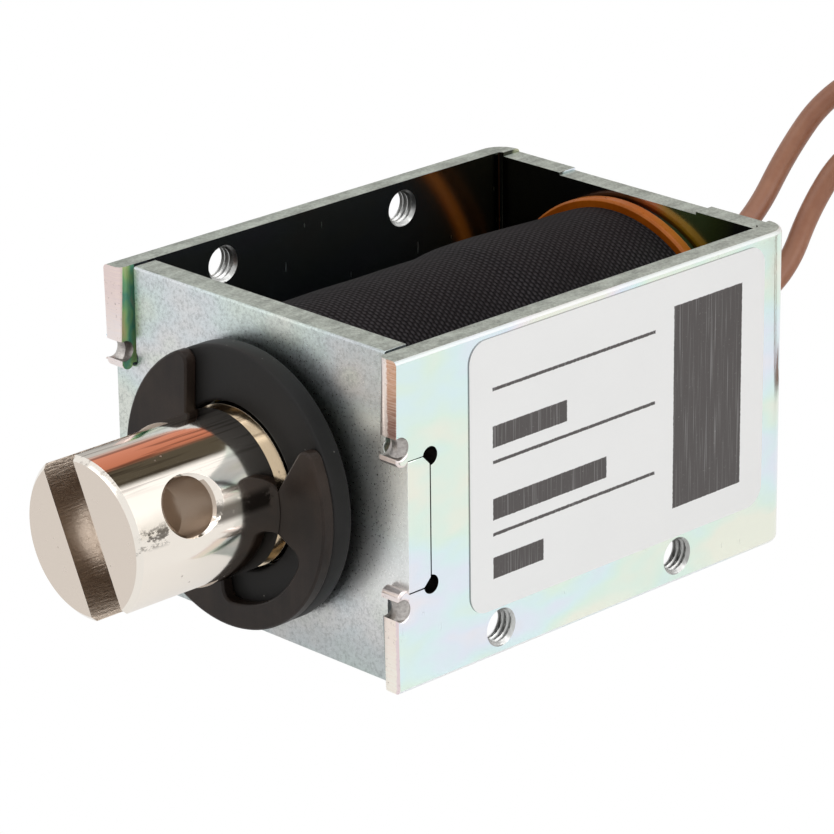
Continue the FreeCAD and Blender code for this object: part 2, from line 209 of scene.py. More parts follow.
class Surface(NodeTree):
    """A material's node tree with the patterns that the finishes share."""

    def __init__(self, name: str) -> None:
        """Starts a material whose patterns are counted in millimetres of Object coordinates.

        Args:
            name: the material's name, without its first part.
        """
        self.material = bpy.data.materials.new("look_" + name)
        self.material.use_nodes = True
        super().__init__(self.material.node_tree)
        metres = self.add("ShaderNodeTexCoord", output="Object")
        self.place = self.scaled(metres, (1000.0, 1000.0, 1000.0))

    def scaled(self, vector: Signal, factors: Sequence[float]) -> Signal:
        """A vector with its parts multiplied by three factors."""
        return self.add("ShaderNodeVectorMath", {"operation": "MULTIPLY"}, {0: vector, 1: factors})

    def noise(self, scale: float, detail: float = 2.0, stretch: Sequence[float] = (1.0, 1.0, 1.0),
              roughness: float = 0.5) -> Signal:
        """Noise between 0 and 1.

        Args:
            scale: features per millimetre.
            detail: number of finer octaves.
            stretch: factors on the three axes before the noise is read.
            roughness: weight of the finer octaves.

        Returns:
            The noise's value.
        """
        place = self.scaled(self.place, stretch)
        values = {"Vector": place, "Scale": scale, "Detail": detail, "Roughness": roughness}
        return self.add("ShaderNodeTexNoise", None, values)

    def specks(self, scale: float, reach: tuple[float, float], where: float,
               share: tuple[float, float]) -> Signal:
        """Small round spots in scattered patches.

        Args:
            scale: spots per millimetre.
            reach: distances from a spot's middle where it has gone and where it is full.
            where: patches per millimetre.
            share: values of the patches' noise where the spots start and are all there.

        Returns:
            1 on the spots and 0 elsewhere.
        """
        near = self.add("ShaderNodeTexVoronoi", None, {"Vector": self.place, "Scale": scale})
        return near.step(*reach) * self.noise(where).step(*share)

    def bump(self, height: Signal, depth_mm: float, strength: float = 1.0) -> Signal:
        """Normal that a height between 0 and 1 gives when 1 stands depth_mm proud."""
        values = {"Strength": strength, "Distance": depth_mm * MM, "Height": height}
        return self.add("ShaderNodeBump", None, values)

    def finish(self, **sockets: object) -> bpy.types.Material:
        """Ends the tree in a Principled shader.

        Args:
            sockets: values for its inputs, with underscores for the spaces in their names.

        Returns:
            The finished material.
        """
        values = {name.replace("_", " "): value for name, value in sockets.items()}
        shader = self.add("ShaderNodeBsdfPrincipled", None, values)
        self.add("ShaderNodeOutputMaterial", None, {"Surface": shader})
        return self.material


# Finishes

@dataclass(frozen=True)
class Finish:
    """A finish of one of the object's surfaces; each kind says how its material is made."""

    name: str

    def build(self) -> bpy.types.Material:
        """Makes the material."""
        raise NotImplementedError

    def material(self) -> bpy.types.Material:
        """The material, made once and shared by the pieces that have this finish."""
        return bpy.data.materials.get("look_" + self.name) or self.build()


@dataclass(frozen=True)
class ZincFilm(Finish):
    """Bright zinc plate under a thin passivation film that shimmers in pastel colours."""

    metal: Colour = (0.77, 0.84, 0.83)
    film: tuple[tuple[float, Colour], ...] = (
        (0.30, (0.88, 0.88, 0.74)), (0.40, (0.74, 0.90, 0.78)), (0.48, (0.71, 0.89, 0.90)),
        (0.56, (0.78, 0.83, 0.94)), (0.64, (0.90, 0.82, 0.87)), (0.72, (0.88, 0.88, 0.76)))
    film_share: float = 0.75
    roughness: float = 0.16
    grain: float = 0.25
    grain_depth_mm: float = 0.004
    mottle: float = 0.10
    metallic: float = 1.0
    contrast: float = 1.7
    spangle: float = 0.0
    thick_film_and_painted_shade: bool = False

    def build(self) -> bpy.types.Material:
        """Film colours drift over the plate; fine grain, stain patches and a few hairline scratches.

        Returns:
            The material.
        """
        s = Surface(self.name)
        slow, quick = s.noise(0.055, 1.5, (1.0, 0.8, 1.3)), s.noise(0.15, 2.0, (1.0, 0.7, 1.4))
        drift = (slow * 0.72 + quick * 0.28 - 0.5) * self.contrast + 0.5
        if self.thick_film_and_painted_shade:
            drift = drift - s.axes(s.place)[2].step(12.0, 4.0) * 0.20
        tint = s.mix(self.film_share, self.metal, s.ramp(drift, self.film))
        grain = s.noise(4.5, 3.0)
        stain = s.noise(0.5, 4.0, roughness=0.7)
        scratch = s.noise(0.35, 1.0, (0.6, 6.0, 1.0)).step(0.70, 0.74) * s.noise(0.2).step(0.5, 0.6)
        dull = (stain - 0.5) * self.mottle + (grain - 0.5) * self.mottle
        colour = s.mix((dull + scratch * 0.1).clamped(), tint, (0.30, 0.32, 0.32))
        # speckles of the front plate, with painted reflections and painted shade
        if self.spangle > 0.0:
            colour = self.speckles_and_painted_reflections(s, colour)
        metallic = self.metallic
        # thick film on the inner faces, with painted dark reflections and painted corner shade
        if self.thick_film_and_painted_shade:
            colour, metallic = self.inner_film_and_painted_shade(s, colour)
        rough = (self.roughness + (grain - 0.5) * self.grain * 0.4 + scratch * 0.2).clamped()
        normal = s.bump(grain, self.grain_depth_mm, self.grain)
        return s.finish(Base_Color=colour, Metallic=metallic, Roughness=rough, Normal=normal)

    def speckles_and_painted_reflections(self, s: Surface, colour: Signal) -> Signal:
        """Coarse speckles of the front plate, with painted reflections: darker at the upper right, a
        painted highlight on the right middle and painted shade towards the bottom.

        Args:
            s: the material's tree.
            colour: the plate's colour without them.

        Returns:
            The speckled colour, with its painted reflections and painted shade.
        """
        x, _, z = s.axes(s.place)
        spots = s.noise(2.6, 4.0, roughness=0.78).step(0.42, 0.68) * self.spangle
        # painted reflection: the front plate darker at the upper right
        painted_dark_upper_right = x.step(6.0, 15.0) * z.step(20.0, 28.0) * 0.22
        # painted highlight on the right middle of the front plate
        painted_highlight_right = x.step(9.0, 16.0) * z.band(6.0, 11.0, 26.5, 29.5) * 0.6
        # painted shade: the front plate darkens towards the bottom
        dusty = z.step(7.0, 2.0) * 0.25
        for share, other in ((spots, (0.20, 0.215, 0.21)), (painted_dark_upper_right, (0.12, 0.12, 0.115)),
                             (painted_highlight_right, (0.98, 1.0, 0.98)), (dusty, (0.16, 0.165, 0.14))):
            colour = s.mix(share, colour, other)
        return colour

    @staticmethod
    def inner_film_and_painted_shade(s: Surface, colour: Signal) -> tuple[Signal, Signal]:
        """Strongly coloured film on the inner faces that the platers' bath left thick, with painted
        dark reflections and painted shade.

        Args:
            s: the material's tree.
            colour: the plate's colour elsewhere.

        Returns:
            The colour with the thick film on the left horns and in the rear corners, a painted dark
            reflection on the left inner face and on the rear plate, painted shade in the rear left
            corner, and how metallic it looks.
        """
        x, y, _ = s.axes(s.place)
        drift = s.noise(0.30, 2.0, (1.0, 1.6, 0.7))
        horn = s.ramp(drift, [(0.32, (0.64, 0.58, 0.28)), (0.46, (0.34, 0.60, 0.24)),
                              (0.56, (0.13, 0.42, 0.29)), (0.68, (0.50, 0.40, 0.28))])
        left_face = x.band(-19.2, -19.1, -18.2, -18.0)
        on_horn = left_face * y.step(-21.1, -21.3)
        # painted reflection: the left inner face halfway to black, where the dark coil would mirror in
        # it
        colour = s.mix(left_face * 0.5, colour, (0.02, 0.02, 0.025))
        colour = s.mix(on_horn, colour, horn)
        across = (x + 19.0) / 38.0 + (drift - 0.5) * 0.15
        # film colours across the rear plate's inner face, dark at both ends as a painted reflection
        rear = s.ramp(across, [(0.0, (0.10, 0.10, 0.09)), (0.48, (0.12, 0.12, 0.12)),
                               (0.60, (0.55, 0.42, 0.34)), (0.72, (0.42, 0.62, 0.22)),
                               (0.84, (0.26, 0.36, 0.10)), (0.93, (0.10, 0.10, 0.09))])
        on_back = y.band(31.9, 32.1, 32.6, 33.0) * x.math("ABSOLUTE").step(19.3, 19.0)
        colour = s.mix(on_back, colour, rear)
        colour = s.mix(left_face * y.step(14.0, 28.0) * 0.8, colour, (0.46, 0.45, 0.28))
        # painted shade in the rear left corner
        corner = x.band(-19.3, -19.1, -18.0, -17.7) * y.band(30.9, 31.3, 33.4, 34.0)
        return s.mix(corner * 0.9, colour, (0.03, 0.03, 0.03)), 1.0 - on_horn * 0.75


@dataclass(frozen=True)
class ShearedSteel(Finish):
    """Cut edge of the sheet: a dull beige-grey break with streaks along the cut."""

    dark: Colour = (0.20, 0.23, 0.205)
    pale: Colour = (0.54, 0.61, 0.55)

    def build(self) -> bpy.types.Material:
        """Short streaks across the sheet over slower bands along the edge.

        Returns:
            The material.
        """
        s = Surface(self.name)
        streaks = s.noise(3.2, 3.0, (1.0, 1.0, 0.3), roughness=0.7)
        bands = s.noise(0.6, 3.0, (1.4, 0.5, 1.0))
        value = (streaks * 0.6 + bands * 0.5).step(0.30, 0.78)
        colour = s.mix(value, self.dark, self.pale)
        normal = s.bump(streaks, 0.03, 0.8)
        return s.finish(Base_Color=colour, Metallic=0.35, Roughness=0.48, Normal=normal)


@dataclass(frozen=True)
class HornFace(Finish):
    """Narrow front face of a side plate's horn, where the film is thick and strongly coloured."""

    upper: Colour = (0.60, 0.36, 0.25)
    lower: Colour = (0.30, 0.17, 0.15)
    z_from_mm: float = 27.0
    z_to_mm: float = 33.0
    # painted highlight: pale colour along the rounded inner edge of the horn
    inner: Colour = (0.86, 0.79, 0.77)
    inner_highlight_to_mm: float = 0.0
    rim: Colour = (0.80, 0.67, 0.69)
    rim_from_mm: float = 30.0

    def build(self) -> bpy.types.Material:
        """The film's colour changes along and across the horn, under the cutter's fine lines; a pale
        painted highlight runs along the rounded inner edge.

        Returns:
            The material.
        """
        s = Surface(self.name)
        x, _, z = s.axes(s.place)
        lines = s.noise(6.5, 2.0, (0.06, 0.1, 1.0))
        ragged = s.noise(1.6, 4.0, roughness=0.75) - 0.5
        across = x.math("ABSOLUTE") + ragged * 0.9
        along = z.step(self.z_from_mm, self.z_to_mm)
        colour = s.mix(along, self.lower, self.upper)
        colour = s.mix(lines.step(0.42, 0.62) * 0.35, colour, (0.88, 0.74, 0.66))
        # painted highlight along the rounded inner edge
        inside = across.step(self.inner_highlight_to_mm + 0.12, self.inner_highlight_to_mm - 0.12)
        rim = across.step(self.rim_from_mm - 0.1, self.rim_from_mm + 0.1)
        colour = s.mix(rim, s.mix(inside, colour, self.inner), self.rim)
        flecks = s.noise(2.4, 3.0, roughness=0.8).step(0.60, 0.68)
        edges = (ragged.math("ABSOLUTE") * -6.0 + 0.5).clamped() * across.step(20.6, 19.6)
        colour = s.mix((flecks * 0.35 + edges * flecks * 0.5).clamped(), colour, (0.16, 0.13, 0.12))
        normal = s.bump(lines, 0.03, 0.8)
        return s.finish(Base_Color=colour, Metallic=1.0, Roughness=0.30, Normal=normal)


@dataclass(frozen=True)
class NickelPlate(Finish):
    """Bright nickel over turned or milled steel."""

    colour: Colour = (0.86, 0.80, 0.725)
    roughness: float = 0.09
    marks: tuple[float, float, float] = (1.0, 0.25, 1.0)
    marks_scale: float = 1.4
    marks_depth_mm: float = 0.002
    pits: float = 0.5
    painted_reflection: float = 0.0
    painted_reflection_mm: tuple[float, float] = (18.0, 19.8)
    painted_reflection_share: float = 0.47

    def build(self) -> bpy.types.Material:
        """Tool marks along one direction, small pits, a little variation in gloss, and painted dark
        reflections in a band and in streaks along the axis.

        Returns:
            The material.
        """
        s = Surface(self.name)
        marks = s.noise(self.marks_scale, 3.0, self.marks, roughness=0.65)
        orange_peel = s.noise(2.2, 2.0)
        pit = s.specks(0.9, (0.16, 0.05), 0.25, (0.55, 0.65))
        rough = (self.roughness + (marks - 0.5) * 0.08 + pit * 0.3).clamped()
        colour = s.mix((pit * self.pits).clamped(), self.colour, (0.20, 0.17, 0.14))
        # painted reflection: dark patches in a band of heights on the +X side, and dark streaks along
        # the axis higher up
        x, _, z = s.axes(s.place)
        low, high = self.painted_reflection_mm
        level = z.band(low - 0.4, low + 0.4, high - 0.5, high + 0.5) * x.step(3.0, 4.0)
        speckle = s.noise(1.1, 5.0, (1.0, 0.55, 1.0), roughness=0.75)
        patch = s.noise(0.30, 1.0, (1.0, 1.0, 0.4)) * 0.5 + speckle * 0.5
        patch = patch.step(self.painted_reflection_share, self.painted_reflection_share + 0.05)
        streak = s.noise(2.0, 3.0, (1.0, 0.03, 1.0)).step(0.50, 0.64) * z.step(22.5, 24.0)
        colour = s.mix((patch * level * self.painted_reflection).clamped(), colour, (0.10, 0.085, 0.07))
        colour = s.mix((streak * self.painted_reflection * 0.7).clamped(), colour, (0.16, 0.12, 0.10))
        normal = s.bump(marks + orange_peel * 0.5, self.marks_depth_mm)
        return s.finish(Base_Color=colour, Metallic=1.0, Roughness=rough, Normal=normal)


@dataclass(frozen=True)
class BlackPhosphate(Finish):
    """Brown-black phosphate and oil on spring steel."""

    dark: Colour = (0.010, 0.007, 0.006)
    brown: Colour = (0.036, 0.024, 0.018)

    def build(self) -> bpy.types.Material:
        """Soft brown patches, fine crystals and faint rolling lines.

        Returns:
            The material.
        """
        s = Surface(self.name)
        patches = s.noise(0.16, 3.0)
        crystals = s.noise(6.0, 2.0)
        lines = s.noise(1.6, 2.0, (1.0, 1.0, 0.06))
        value = (patches * 0.8 + crystals * 0.25 + lines * 0.15).step(0.35, 0.9)
        colour = s.mix(value, self.dark, self.brown)
        rough = (0.40 + (crystals - 0.5) * 0.2).clamped()
        normal = s.bump(crystals + lines * 0.4, 0.004, 0.7)
        return s.finish(Base_Color=colour, Roughness=rough, Specular_IOR_Level=0.20, Normal=normal)


@dataclass(frozen=True)
class Rubber(Finish):
    """Moulded black rubber with dust in its skin."""

    base: Colour = (0.008, 0.008, 0.008)
    dusty: Colour = (0.026, 0.024, 0.023)

    def build(self) -> bpy.types.Material:
        """Even black with a chalky bloom and specks of dust.

        Returns:
            The material.
        """
        s = Surface(self.name)
        bloom = s.noise(0.22, 3.0)
        skin = s.noise(3.5, 3.0)
        specks = s.specks(0.8, (0.10, 0.04), 0.3, (0.5, 0.6))
        colour = s.mix((bloom * 0.6 + skin * 0.2).clamped(), self.base, self.dusty)
        colour = s.mix((specks * 0.7).clamped(), colour, (0.30, 0.29, 0.27))
        rough = (0.42 + bloom * 0.18).clamped()
        return s.finish(Base_Color=colour, Roughness=rough, Specular_IOR_Level=0.17,
                        Normal=s.bump(skin, 0.012, 0.6))


@dataclass(frozen=True)
class ClothTape(Finish):
    """Black woven cloth tape; its weave follows the UV map, which counts millimetres."""

    # painted sheen: the paler colour on the crowns of the yarns
    worn: Colour = (0.038, 0.035, 0.038)
    gap: Colour = (0.002, 0.002, 0.0025)
    pitch_mm: float = 0.52
    yarn_mm: float = 0.36

    def build(self) -> bpy.types.Material:
        """Round ribs along the tape, crossed by finer yarns, with a painted sheen where they crown.

        Returns:
            The material.
        """
        s = Surface(self.name)
        u, v, _ = s.axes(s.add("ShaderNodeUVMap", {"uv_map": "cloth"}))
        wander = (s.noise(0.5, 3.0) - 0.5) * 0.4
        ribs = ((v + wander) * (math.pi / self.pitch_mm)).math("SINE")
        yarns = ((u + wander * 0.5) * (math.pi / self.yarn_mm)).math("SINE")
        rib = ribs.math("ABSOLUTE").math("POWER", 0.8)
        cross = (ribs * yarns).math("SIGN") * 0.5 * yarns.math("ABSOLUTE") + 0.5
        fuzz = s.noise(6.0, 3.0, roughness=0.75)
        height = rib * (0.55 + cross * 0.45)
        patches = s.noise(0.10, 3.0)
        lint = s.specks(1.1, (0.09, 0.03), 0.5, (0.52, 0.60))
        # painted sheen on the crowns, with random tone from the fuzz and the patches
        pale = (height * 0.8 + (fuzz - 0.5) * 0.9).step(0.22, 0.85) * (0.35 + patches * 1.2)
        colour = s.mix((pale + lint).clamped(), self.gap, self.worn)
        normal = s.bump(height + fuzz * 0.25, 0.09, 0.85)
        return s.finish(Base_Color=colour, Roughness=0.62, Specular_IOR_Level=0.06, Normal=normal)


@dataclass(frozen=True)
class Moulding(Finish):
    """Moulded or laminated insulation with a soft gloss."""

    colour: Colour = (0.40, 0.115, 0.022)
    second: Colour = (0.56, 0.21, 0.06)
    roughness: float = 0.38
    grain: float = 1.6
    gloss: float = 0.5

    def build(self) -> bpy.types.Material:
        """Slow flow of the material under a fine skin.

        Returns:
            The material.
        """
        s = Surface(self.name)
        flow = s.noise(0.18, 3.0)
        skin = s.noise(self.grain, 3.0)
        colour = s.mix((flow * 0.8 + skin * 0.3).step(0.3, 0.85), self.colour, self.second)
        rough = (self.roughness + (skin - 0.5) * 0.2).clamped()
        return s.finish(Base_Color=colour, Roughness=rough, Specular_IOR_Level=self.gloss,
                        Normal=s.bump(skin, 0.02, 0.5))


@dataclass(frozen=True)
class DrawnMetal(Finish):
    """Turned, drawn or tinned metal with lines round or along it."""

    colour: Colour = (0.60, 0.59, 0.57)
    dark: Colour = (0.34, 0.33, 0.31)
    roughness: float = 0.28
    stretch: tuple[float, float, float] = (0.15, 1.0, 0.15)
    scale: float = 3.0

    def build(self) -> bpy.types.Material:
        """Fine lines and a few dull patches.

        Returns:
            The material.
        """
        s = Surface(self.name)
        lines = s.noise(self.scale, 3.0, self.stretch, roughness=0.7)
        patches = s.noise(0.3, 3.0)
        colour = s.mix((lines * 0.5 + patches * 0.5).step(0.3, 0.8), self.dark, self.colour)
        rough = (self.roughness + (patches - 0.5) * 0.2).clamped()
        normal = s.bump(lines, 0.01, 0.6)
        return s.finish(Base_Color=colour, Metallic=1.0, Roughness=rough, Normal=normal)


@dataclass(frozen=True)
class LabelPaper(Finish):
    """Smooth white label paper with the dark blocks and rules of an empty form."""

    colour: Colour = (0.84, 0.835, 0.825)
    stain: Colour = (0.79, 0.79, 0.785)
    ink: Colour = (0.06, 0.052, 0.05)
    roughness: float = 0.42
    blocks: tuple[tuple[float, float, float, float], ...] = ()

    def build(self) -> bpy.types.Material:
        """Nearly even paper; the print is broken by the printer's fine upright streaks.

        Returns:
            The material.
        """
        s = Surface(self.name)
        cloud = s.noise(0.10, 2.0)
        fibre = s.noise(4.0, 3.0, (1.0, 0.5, 1.0))
        colour = s.mix((cloud * 0.7 + fibre * 0.3).clamped(), self.colour, self.stain)
        if self.blocks:
            streaks = s.noise(5.0, 2.0, (1.0, 1.0, 0.02)).step(0.74, 0.52)
            worn = s.noise(2.5, 4.0, roughness=0.8).step(0.72, 0.60)
            share = self.printed(s) * (0.86 + streaks * 0.14) * (0.86 + worn * 0.14)
            colour = s.mix(share, colour, self.ink)
        return s.finish(Base_Color=colour, Roughness=self.roughness, Normal=s.bump(fibre, 0.006, 0.4))

    def printed(self, s: Surface) -> Signal:
        """1 inside the blocks and 0 outside, with slightly ragged edges.

        Args:
            s: the material's tree.

        Returns:
            The share of ink.
        """
        _, y, z = s.axes(s.place)
        depth = None
        for y0, y1, z0, z1 in self.blocks:
            across = (y - y0).math("MINIMUM", y1 - y)
            inside = across.math("MINIMUM", (z - z0).math("MINIMUM", z1 - z))
            depth = inside if depth is None else depth.math("MAXIMUM", inside)
        ragged = (s.noise(3.0, 2.0) - 0.5) * 0.12
        return (depth + ragged).step(-0.04, 0.04)


class Finishes(Enum):
    """Every finish of the solenoid."""

    SIDE_PLATE = ZincFilm("zinc_side_plate", thick_film_and_painted_shade=True)
    FRONT_PLATE = ZincFilm("zinc_front_plate", metal=(0.62, 0.66, 0.645), film_share=0.30,
                           roughness=0.33, grain=1.0, grain_depth_mm=0.018, mottle=0.25, spangle=0.42)
    SHEARED = ShearedSteel("sheared_steel")
    # painted highlight: a paler, less metallic copy of the zinc on the rounded top and bottom edges
    ROLLED = ZincFilm("zinc_rolled_edge", metal=(0.84, 0.85, 0.86), film_share=0.25, roughness=0.42,
                      mottle=0.15, metallic=0.25)
    # painted shade: near-black walls in the relief holes
    RELIEF = DrawnMetal("dark_relief", colour=(0.035, 0.032, 0.03), dark=(0.012, 0.011, 0.01),
                        roughness=0.5)
    THREAD = DrawnMetal("cut_thread", colour=(0.66, 0.67, 0.66), dark=(0.34, 0.34, 0.33),
                        roughness=0.32)
    HORN_COPPER = HornFace("horn_copper_film", inner_highlight_to_mm=20.15)
    HORN_ROSE = HornFace("horn_rose_film", upper=(0.76, 0.63, 0.61), lower=(0.82, 0.75, 0.74))
    HORN_CREAM = HornFace("horn_cream_film", upper=(0.90, 0.80, 0.73), lower=(0.90, 0.87, 0.79),
                          z_from_mm=0.0, z_to_mm=8.0, rim_from_mm=21.0)
    PUNCH_MARK = DrawnMetal("punched_steel", colour=(0.64, 0.61, 0.58), dark=(0.25, 0.23, 0.22),
                            roughness=0.42, stretch=(0.5, 1.0, 1.0))
    NICKEL_ROUND = NickelPlate("nickel_round", painted_reflection=0.9)
    NICKEL_END = NickelPlate("nickel_end", colour=(0.70, 0.62, 0.545), roughness=0.26,
                             marks=(1.0, 1.0, 1.0), marks_scale=0.8, pits=0.25)
    NICKEL_EDGE = NickelPlate("nickel_edge", colour=(0.84, 0.79, 0.72), roughness=0.12, painted_reflection=0.55,
                              painted_reflection_mm=(17.5, 22.0), painted_reflection_share=0.46)
    NICKEL_GROOVE = NickelPlate("nickel_groove", colour=(0.66, 0.56, 0.42), roughness=0.16, pits=0.1)
    NICKEL_MILLED = NickelPlate("nickel_milled", colour=(0.50, 0.42, 0.35), roughness=0.30,
                                marks=(2.6, 0.22, 2.6), marks_scale=1.8, marks_depth_mm=0.03)
    CLIP_BLACK = BlackPhosphate("black_phosphate")
    RUBBER = Rubber("black_rubber")
    CLOTH = ClothTape("woven_cloth_tape")
    BOBBIN = Moulding("bobbin_moulding", colour=(0.22, 0.046, 0.002), second=(0.32, 0.078, 0.005),
                      gloss=0.0)
    # painted highlight: a paler, glossier copy of the moulding on the flanges' rims
    BOBBIN_RIM = Moulding("bobbin_rim", colour=(0.34, 0.085, 0.006), second=(0.46, 0.13, 0.015),
                          roughness=0.30, gloss=0.20)
    BLACK_FIBRE = Moulding("black_fibre", colour=(0.015, 0.015, 0.016), second=(0.05, 0.05, 0.052),
                           roughness=0.55)
    LEAD = Moulding("lead_insulation", colour=(0.25, 0.095, 0.05), second=(0.33, 0.15, 0.085),
                    roughness=0.40)
    BRASS = DrawnMetal("drawn_brass", colour=(0.75, 0.55, 0.26), dark=(0.45, 0.30, 0.12))
    COPPER = DrawnMetal("copper_wire", colour=(0.70, 0.33, 0.16), dark=(0.36, 0.14, 0.06))
    TINNED = DrawnMetal("tinned_wire", colour=(0.66, 0.66, 0.64), dark=(0.42, 0.42, 0.41))
    STAINLESS = DrawnMetal("stainless_rod", colour=(0.66, 0.65, 0.63), dark=(0.45, 0.44, 0.43),
                           roughness=0.18, stretch=(0.15, 1.0, 0.15))
    STEEL = DrawnMetal("turned_steel", colour=(0.55, 0.54, 0.52), dark=(0.30, 0.29, 0.28))
    PAPER = LabelPaper("label_paper", blocks=(
        (16.2, 26.6, 8.6, 30.8), (-10.2, 13.4, 28.6, 28.95), (-10.2, 13.4, 20.9, 21.25),
        (-10.2, 13.4, 13.2, 13.55), (-10.2, 0.4, 22.6, 24.9), (-10.2, 6.2, 14.9, 17.2),
        (-10.2, -3.0, 8.6, 10.9)))
    # painted shadow: dark grey sides of the label, for the shadow along its edge
    PAPER_EDGE = LabelPaper("label_paper_edge", colour=(0.40, 0.40, 0.40), stain=(0.30, 0.30, 0.30))

    @property
    def material(self) -> bpy.types.Material:
        """The finish's material."""
        return self.value.material()


# Mesh making

def spans(node: str) -> tuple[Vector, Vector]:
    """Lowest and highest corner of a solid, in metres."""
    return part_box(node)


AXIS_Z = (spans("guide_tube")[0].z + spans("guide_tube")[1].z) / 2
PLATE_FRONT = spans("front_plate")[0].y
BACK_FACE = spans("lead_bushing_a")[1].y - 0.6 * MM


def link(name: str, data: bpy.types.ID) -> bpy.types.Object:
    """Puts data into the scene at the origin.

    Args:
        name: the object's name.
        data: a mesh, curve, light or camera.

    Returns:
        The object.
    """
    piece = bpy.data.objects.new(name, data)
    bpy.context.scene.collection.objects.link(piece)
    return piece


def from_bmesh(name: str, bm: bmesh.types.BMesh, sharp_deg: float | None = None) -> bpy.types.Object:
    """Turns a bmesh into a smooth-shaded piece and frees it.

    Args:
        name: the new piece's name.
        bm: the bmesh.
        sharp_deg: edges that turn by more than this are sharp; none by default.

    Returns:
        The new piece.
    """
    mesh = bpy.data.meshes.new(name)
    for face in bm.faces:
        face.smooth = True
    bm.to_mesh(mesh)
    bm.free()
    if sharp_deg is not None:
        mesh.set_sharp_from_angle(angle=math.radians(sharp_deg))
    return link(name, mesh)


def closed(name: str, bm: bmesh.types.BMesh, sharp_deg: float | None = None) -> bpy.types.Object:
    """The same for closed shells, with their faces turned outwards."""
    bmesh.ops.recalc_face_normals(bm, faces=bm.faces)
    return from_bmesh(name, bm, sharp_deg)


def bridge(bm: bmesh.types.BMesh, here: Sequence[bmesh.types.BMVert],
           there: Sequence[bmesh.types.BMVert]) -> list[bmesh.types.BMFace]:
    """Quads between two closed rings with the same number of corners."""
    pairs = list(zip(here, there))
    return [bm.faces.new((a, b, d, c)) for (a, c), (b, d) in zip(pairs, pairs[1:] + pairs[:1])]


def baked(piece: bpy.types.Object) -> bpy.types.Object:
    """Replaces a piece by its evaluated mesh, without modifiers.

    Args:
        piece: the piece, which goes.

    Returns:
        The piece that takes its place and its name.
    """
    depsgraph = bpy.context.evaluated_depsgraph_get()
    mesh = bpy.data.meshes.new_from_object(piece.evaluated_get(depsgraph), depsgraph=depsgraph)
    name = piece.name
    bpy.data.objects.remove(piece)
    mesh.name = name
    return link(name, mesh)


def copy_of(node: str, name: str, edge_mm: float = 0.0, sharp_deg: float = 32.0,
            cutters: Sequence[bpy.types.Object] = (),
            prepare: Callable[[bmesh.types.BMesh], None] | None = None) -> bpy.types.Object:
    """A merged copy of a solid with broken edges and even shading.

    Args:
        node: the solid's name.
        name: the new piece's name.
        edge_mm: width of the edge break; none at 0.
        sharp_deg: edges that turn by more than this are sharp.
        cutters: closed pieces cut out of the copy and then removed.
        prepare: changes the merged copy before its edges are broken.

    Returns:
        The new piece.
    """
    bm = bmesh.new()
    bm.from_mesh(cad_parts[node].data)
    bmesh.ops.remove_doubles(bm, verts=bm.verts, dist=1e-7)
    bmesh.ops.dissolve_limit(bm, angle_limit=math.radians(0.3), verts=bm.verts, edges=bm.edges)
    if prepare is not None:
        prepare(bm)
    piece = from_bmesh(name, bm, sharp_deg)
    if edge_mm > 0.0:
        bevel = piece.modifiers.new("edge_break", "BEVEL")
        bevel.width = edge_mm * MM
        bevel.segments = 2
        bevel.limit_method = "ANGLE"
        bevel.angle_limit = math.radians(sharp_deg)
    for cutter in cutters:
        cut = piece.modifiers.new("cut", "BOOLEAN")
        cut.operation = "DIFFERENCE"
        cut.solver = "EXACT"
        cut.object = cutter
    weigh = piece.modifiers.new("even_shading", "WEIGHTED_NORMAL")
    weigh.keep_sharp = True
    piece = baked(piece)
    for cutter in cutters:
        bpy.data.objects.remove(cutter)
    return piece


def round_shading(piece: bpy.types.Object, radius: float, tolerance: float = 2e-6) -> None:
    """Gives the wall of a cylinder about the plunger's axis its true normals.

    Args:
        piece: the piece whose wall is shaded.
        radius: radius of the wall.
        tolerance: how far a corner may lie from that radius.
    """
    mesh = piece.data
    normals = [tuple(corner.vector) for corner in mesh.corner_normals]
    for polygon in mesh.polygons:
        outward = [Vector((mesh.vertices[i].co.x, 0.0, mesh.vertices[i].co.z - AXIS_Z))
                   for i in polygon.vertices]
        on_wall = all(abs(v.length - radius) < tolerance for v in outward)
        if not on_wall or abs(polygon.normal.y) > 0.05:
            continue
        for corner, direction in zip(polygon.loop_indices, outward):
            side = 1.0 if polygon.normal.dot(direction) > 0.0 else -1.0
            normals[corner] = tuple(direction.normalized() * side)
    mesh.normals_split_custom_set(normals)


def turned(name: str, profile: Sequence[tuple[float, float]], steps: int = 128) -> bpy.types.Object:
    """A closed ring turned about the plunger's axis.

    Args:
        name: the piece's name.
        profile: closed outline of (radius, y) corners.
        steps: number of steps round the axis.

    Returns:
        The new piece, with its faces pointing outwards.
    """
    bm = bmesh.new()
    rings = []
    for step in range(steps):
        turn = math.tau * step / steps
        rings.append([bm.verts.new((r * math.cos(turn), y, AXIS_Z + r * math.sin(turn)))
                      for r, y in profile])
    for here, there in zip(rings, rings[1:] + rings[:1]):
        bridge(bm, here, there)
    return closed(name, bm)


def smooth(value: float, low: float, high: float) -> float:
    """Smooth step from 0 at low to 1 at high; low may lie above high."""
    share = min(max((value - low) / (high - low), 0.0), 1.0)
    return (3 - 2 * share) * share * share


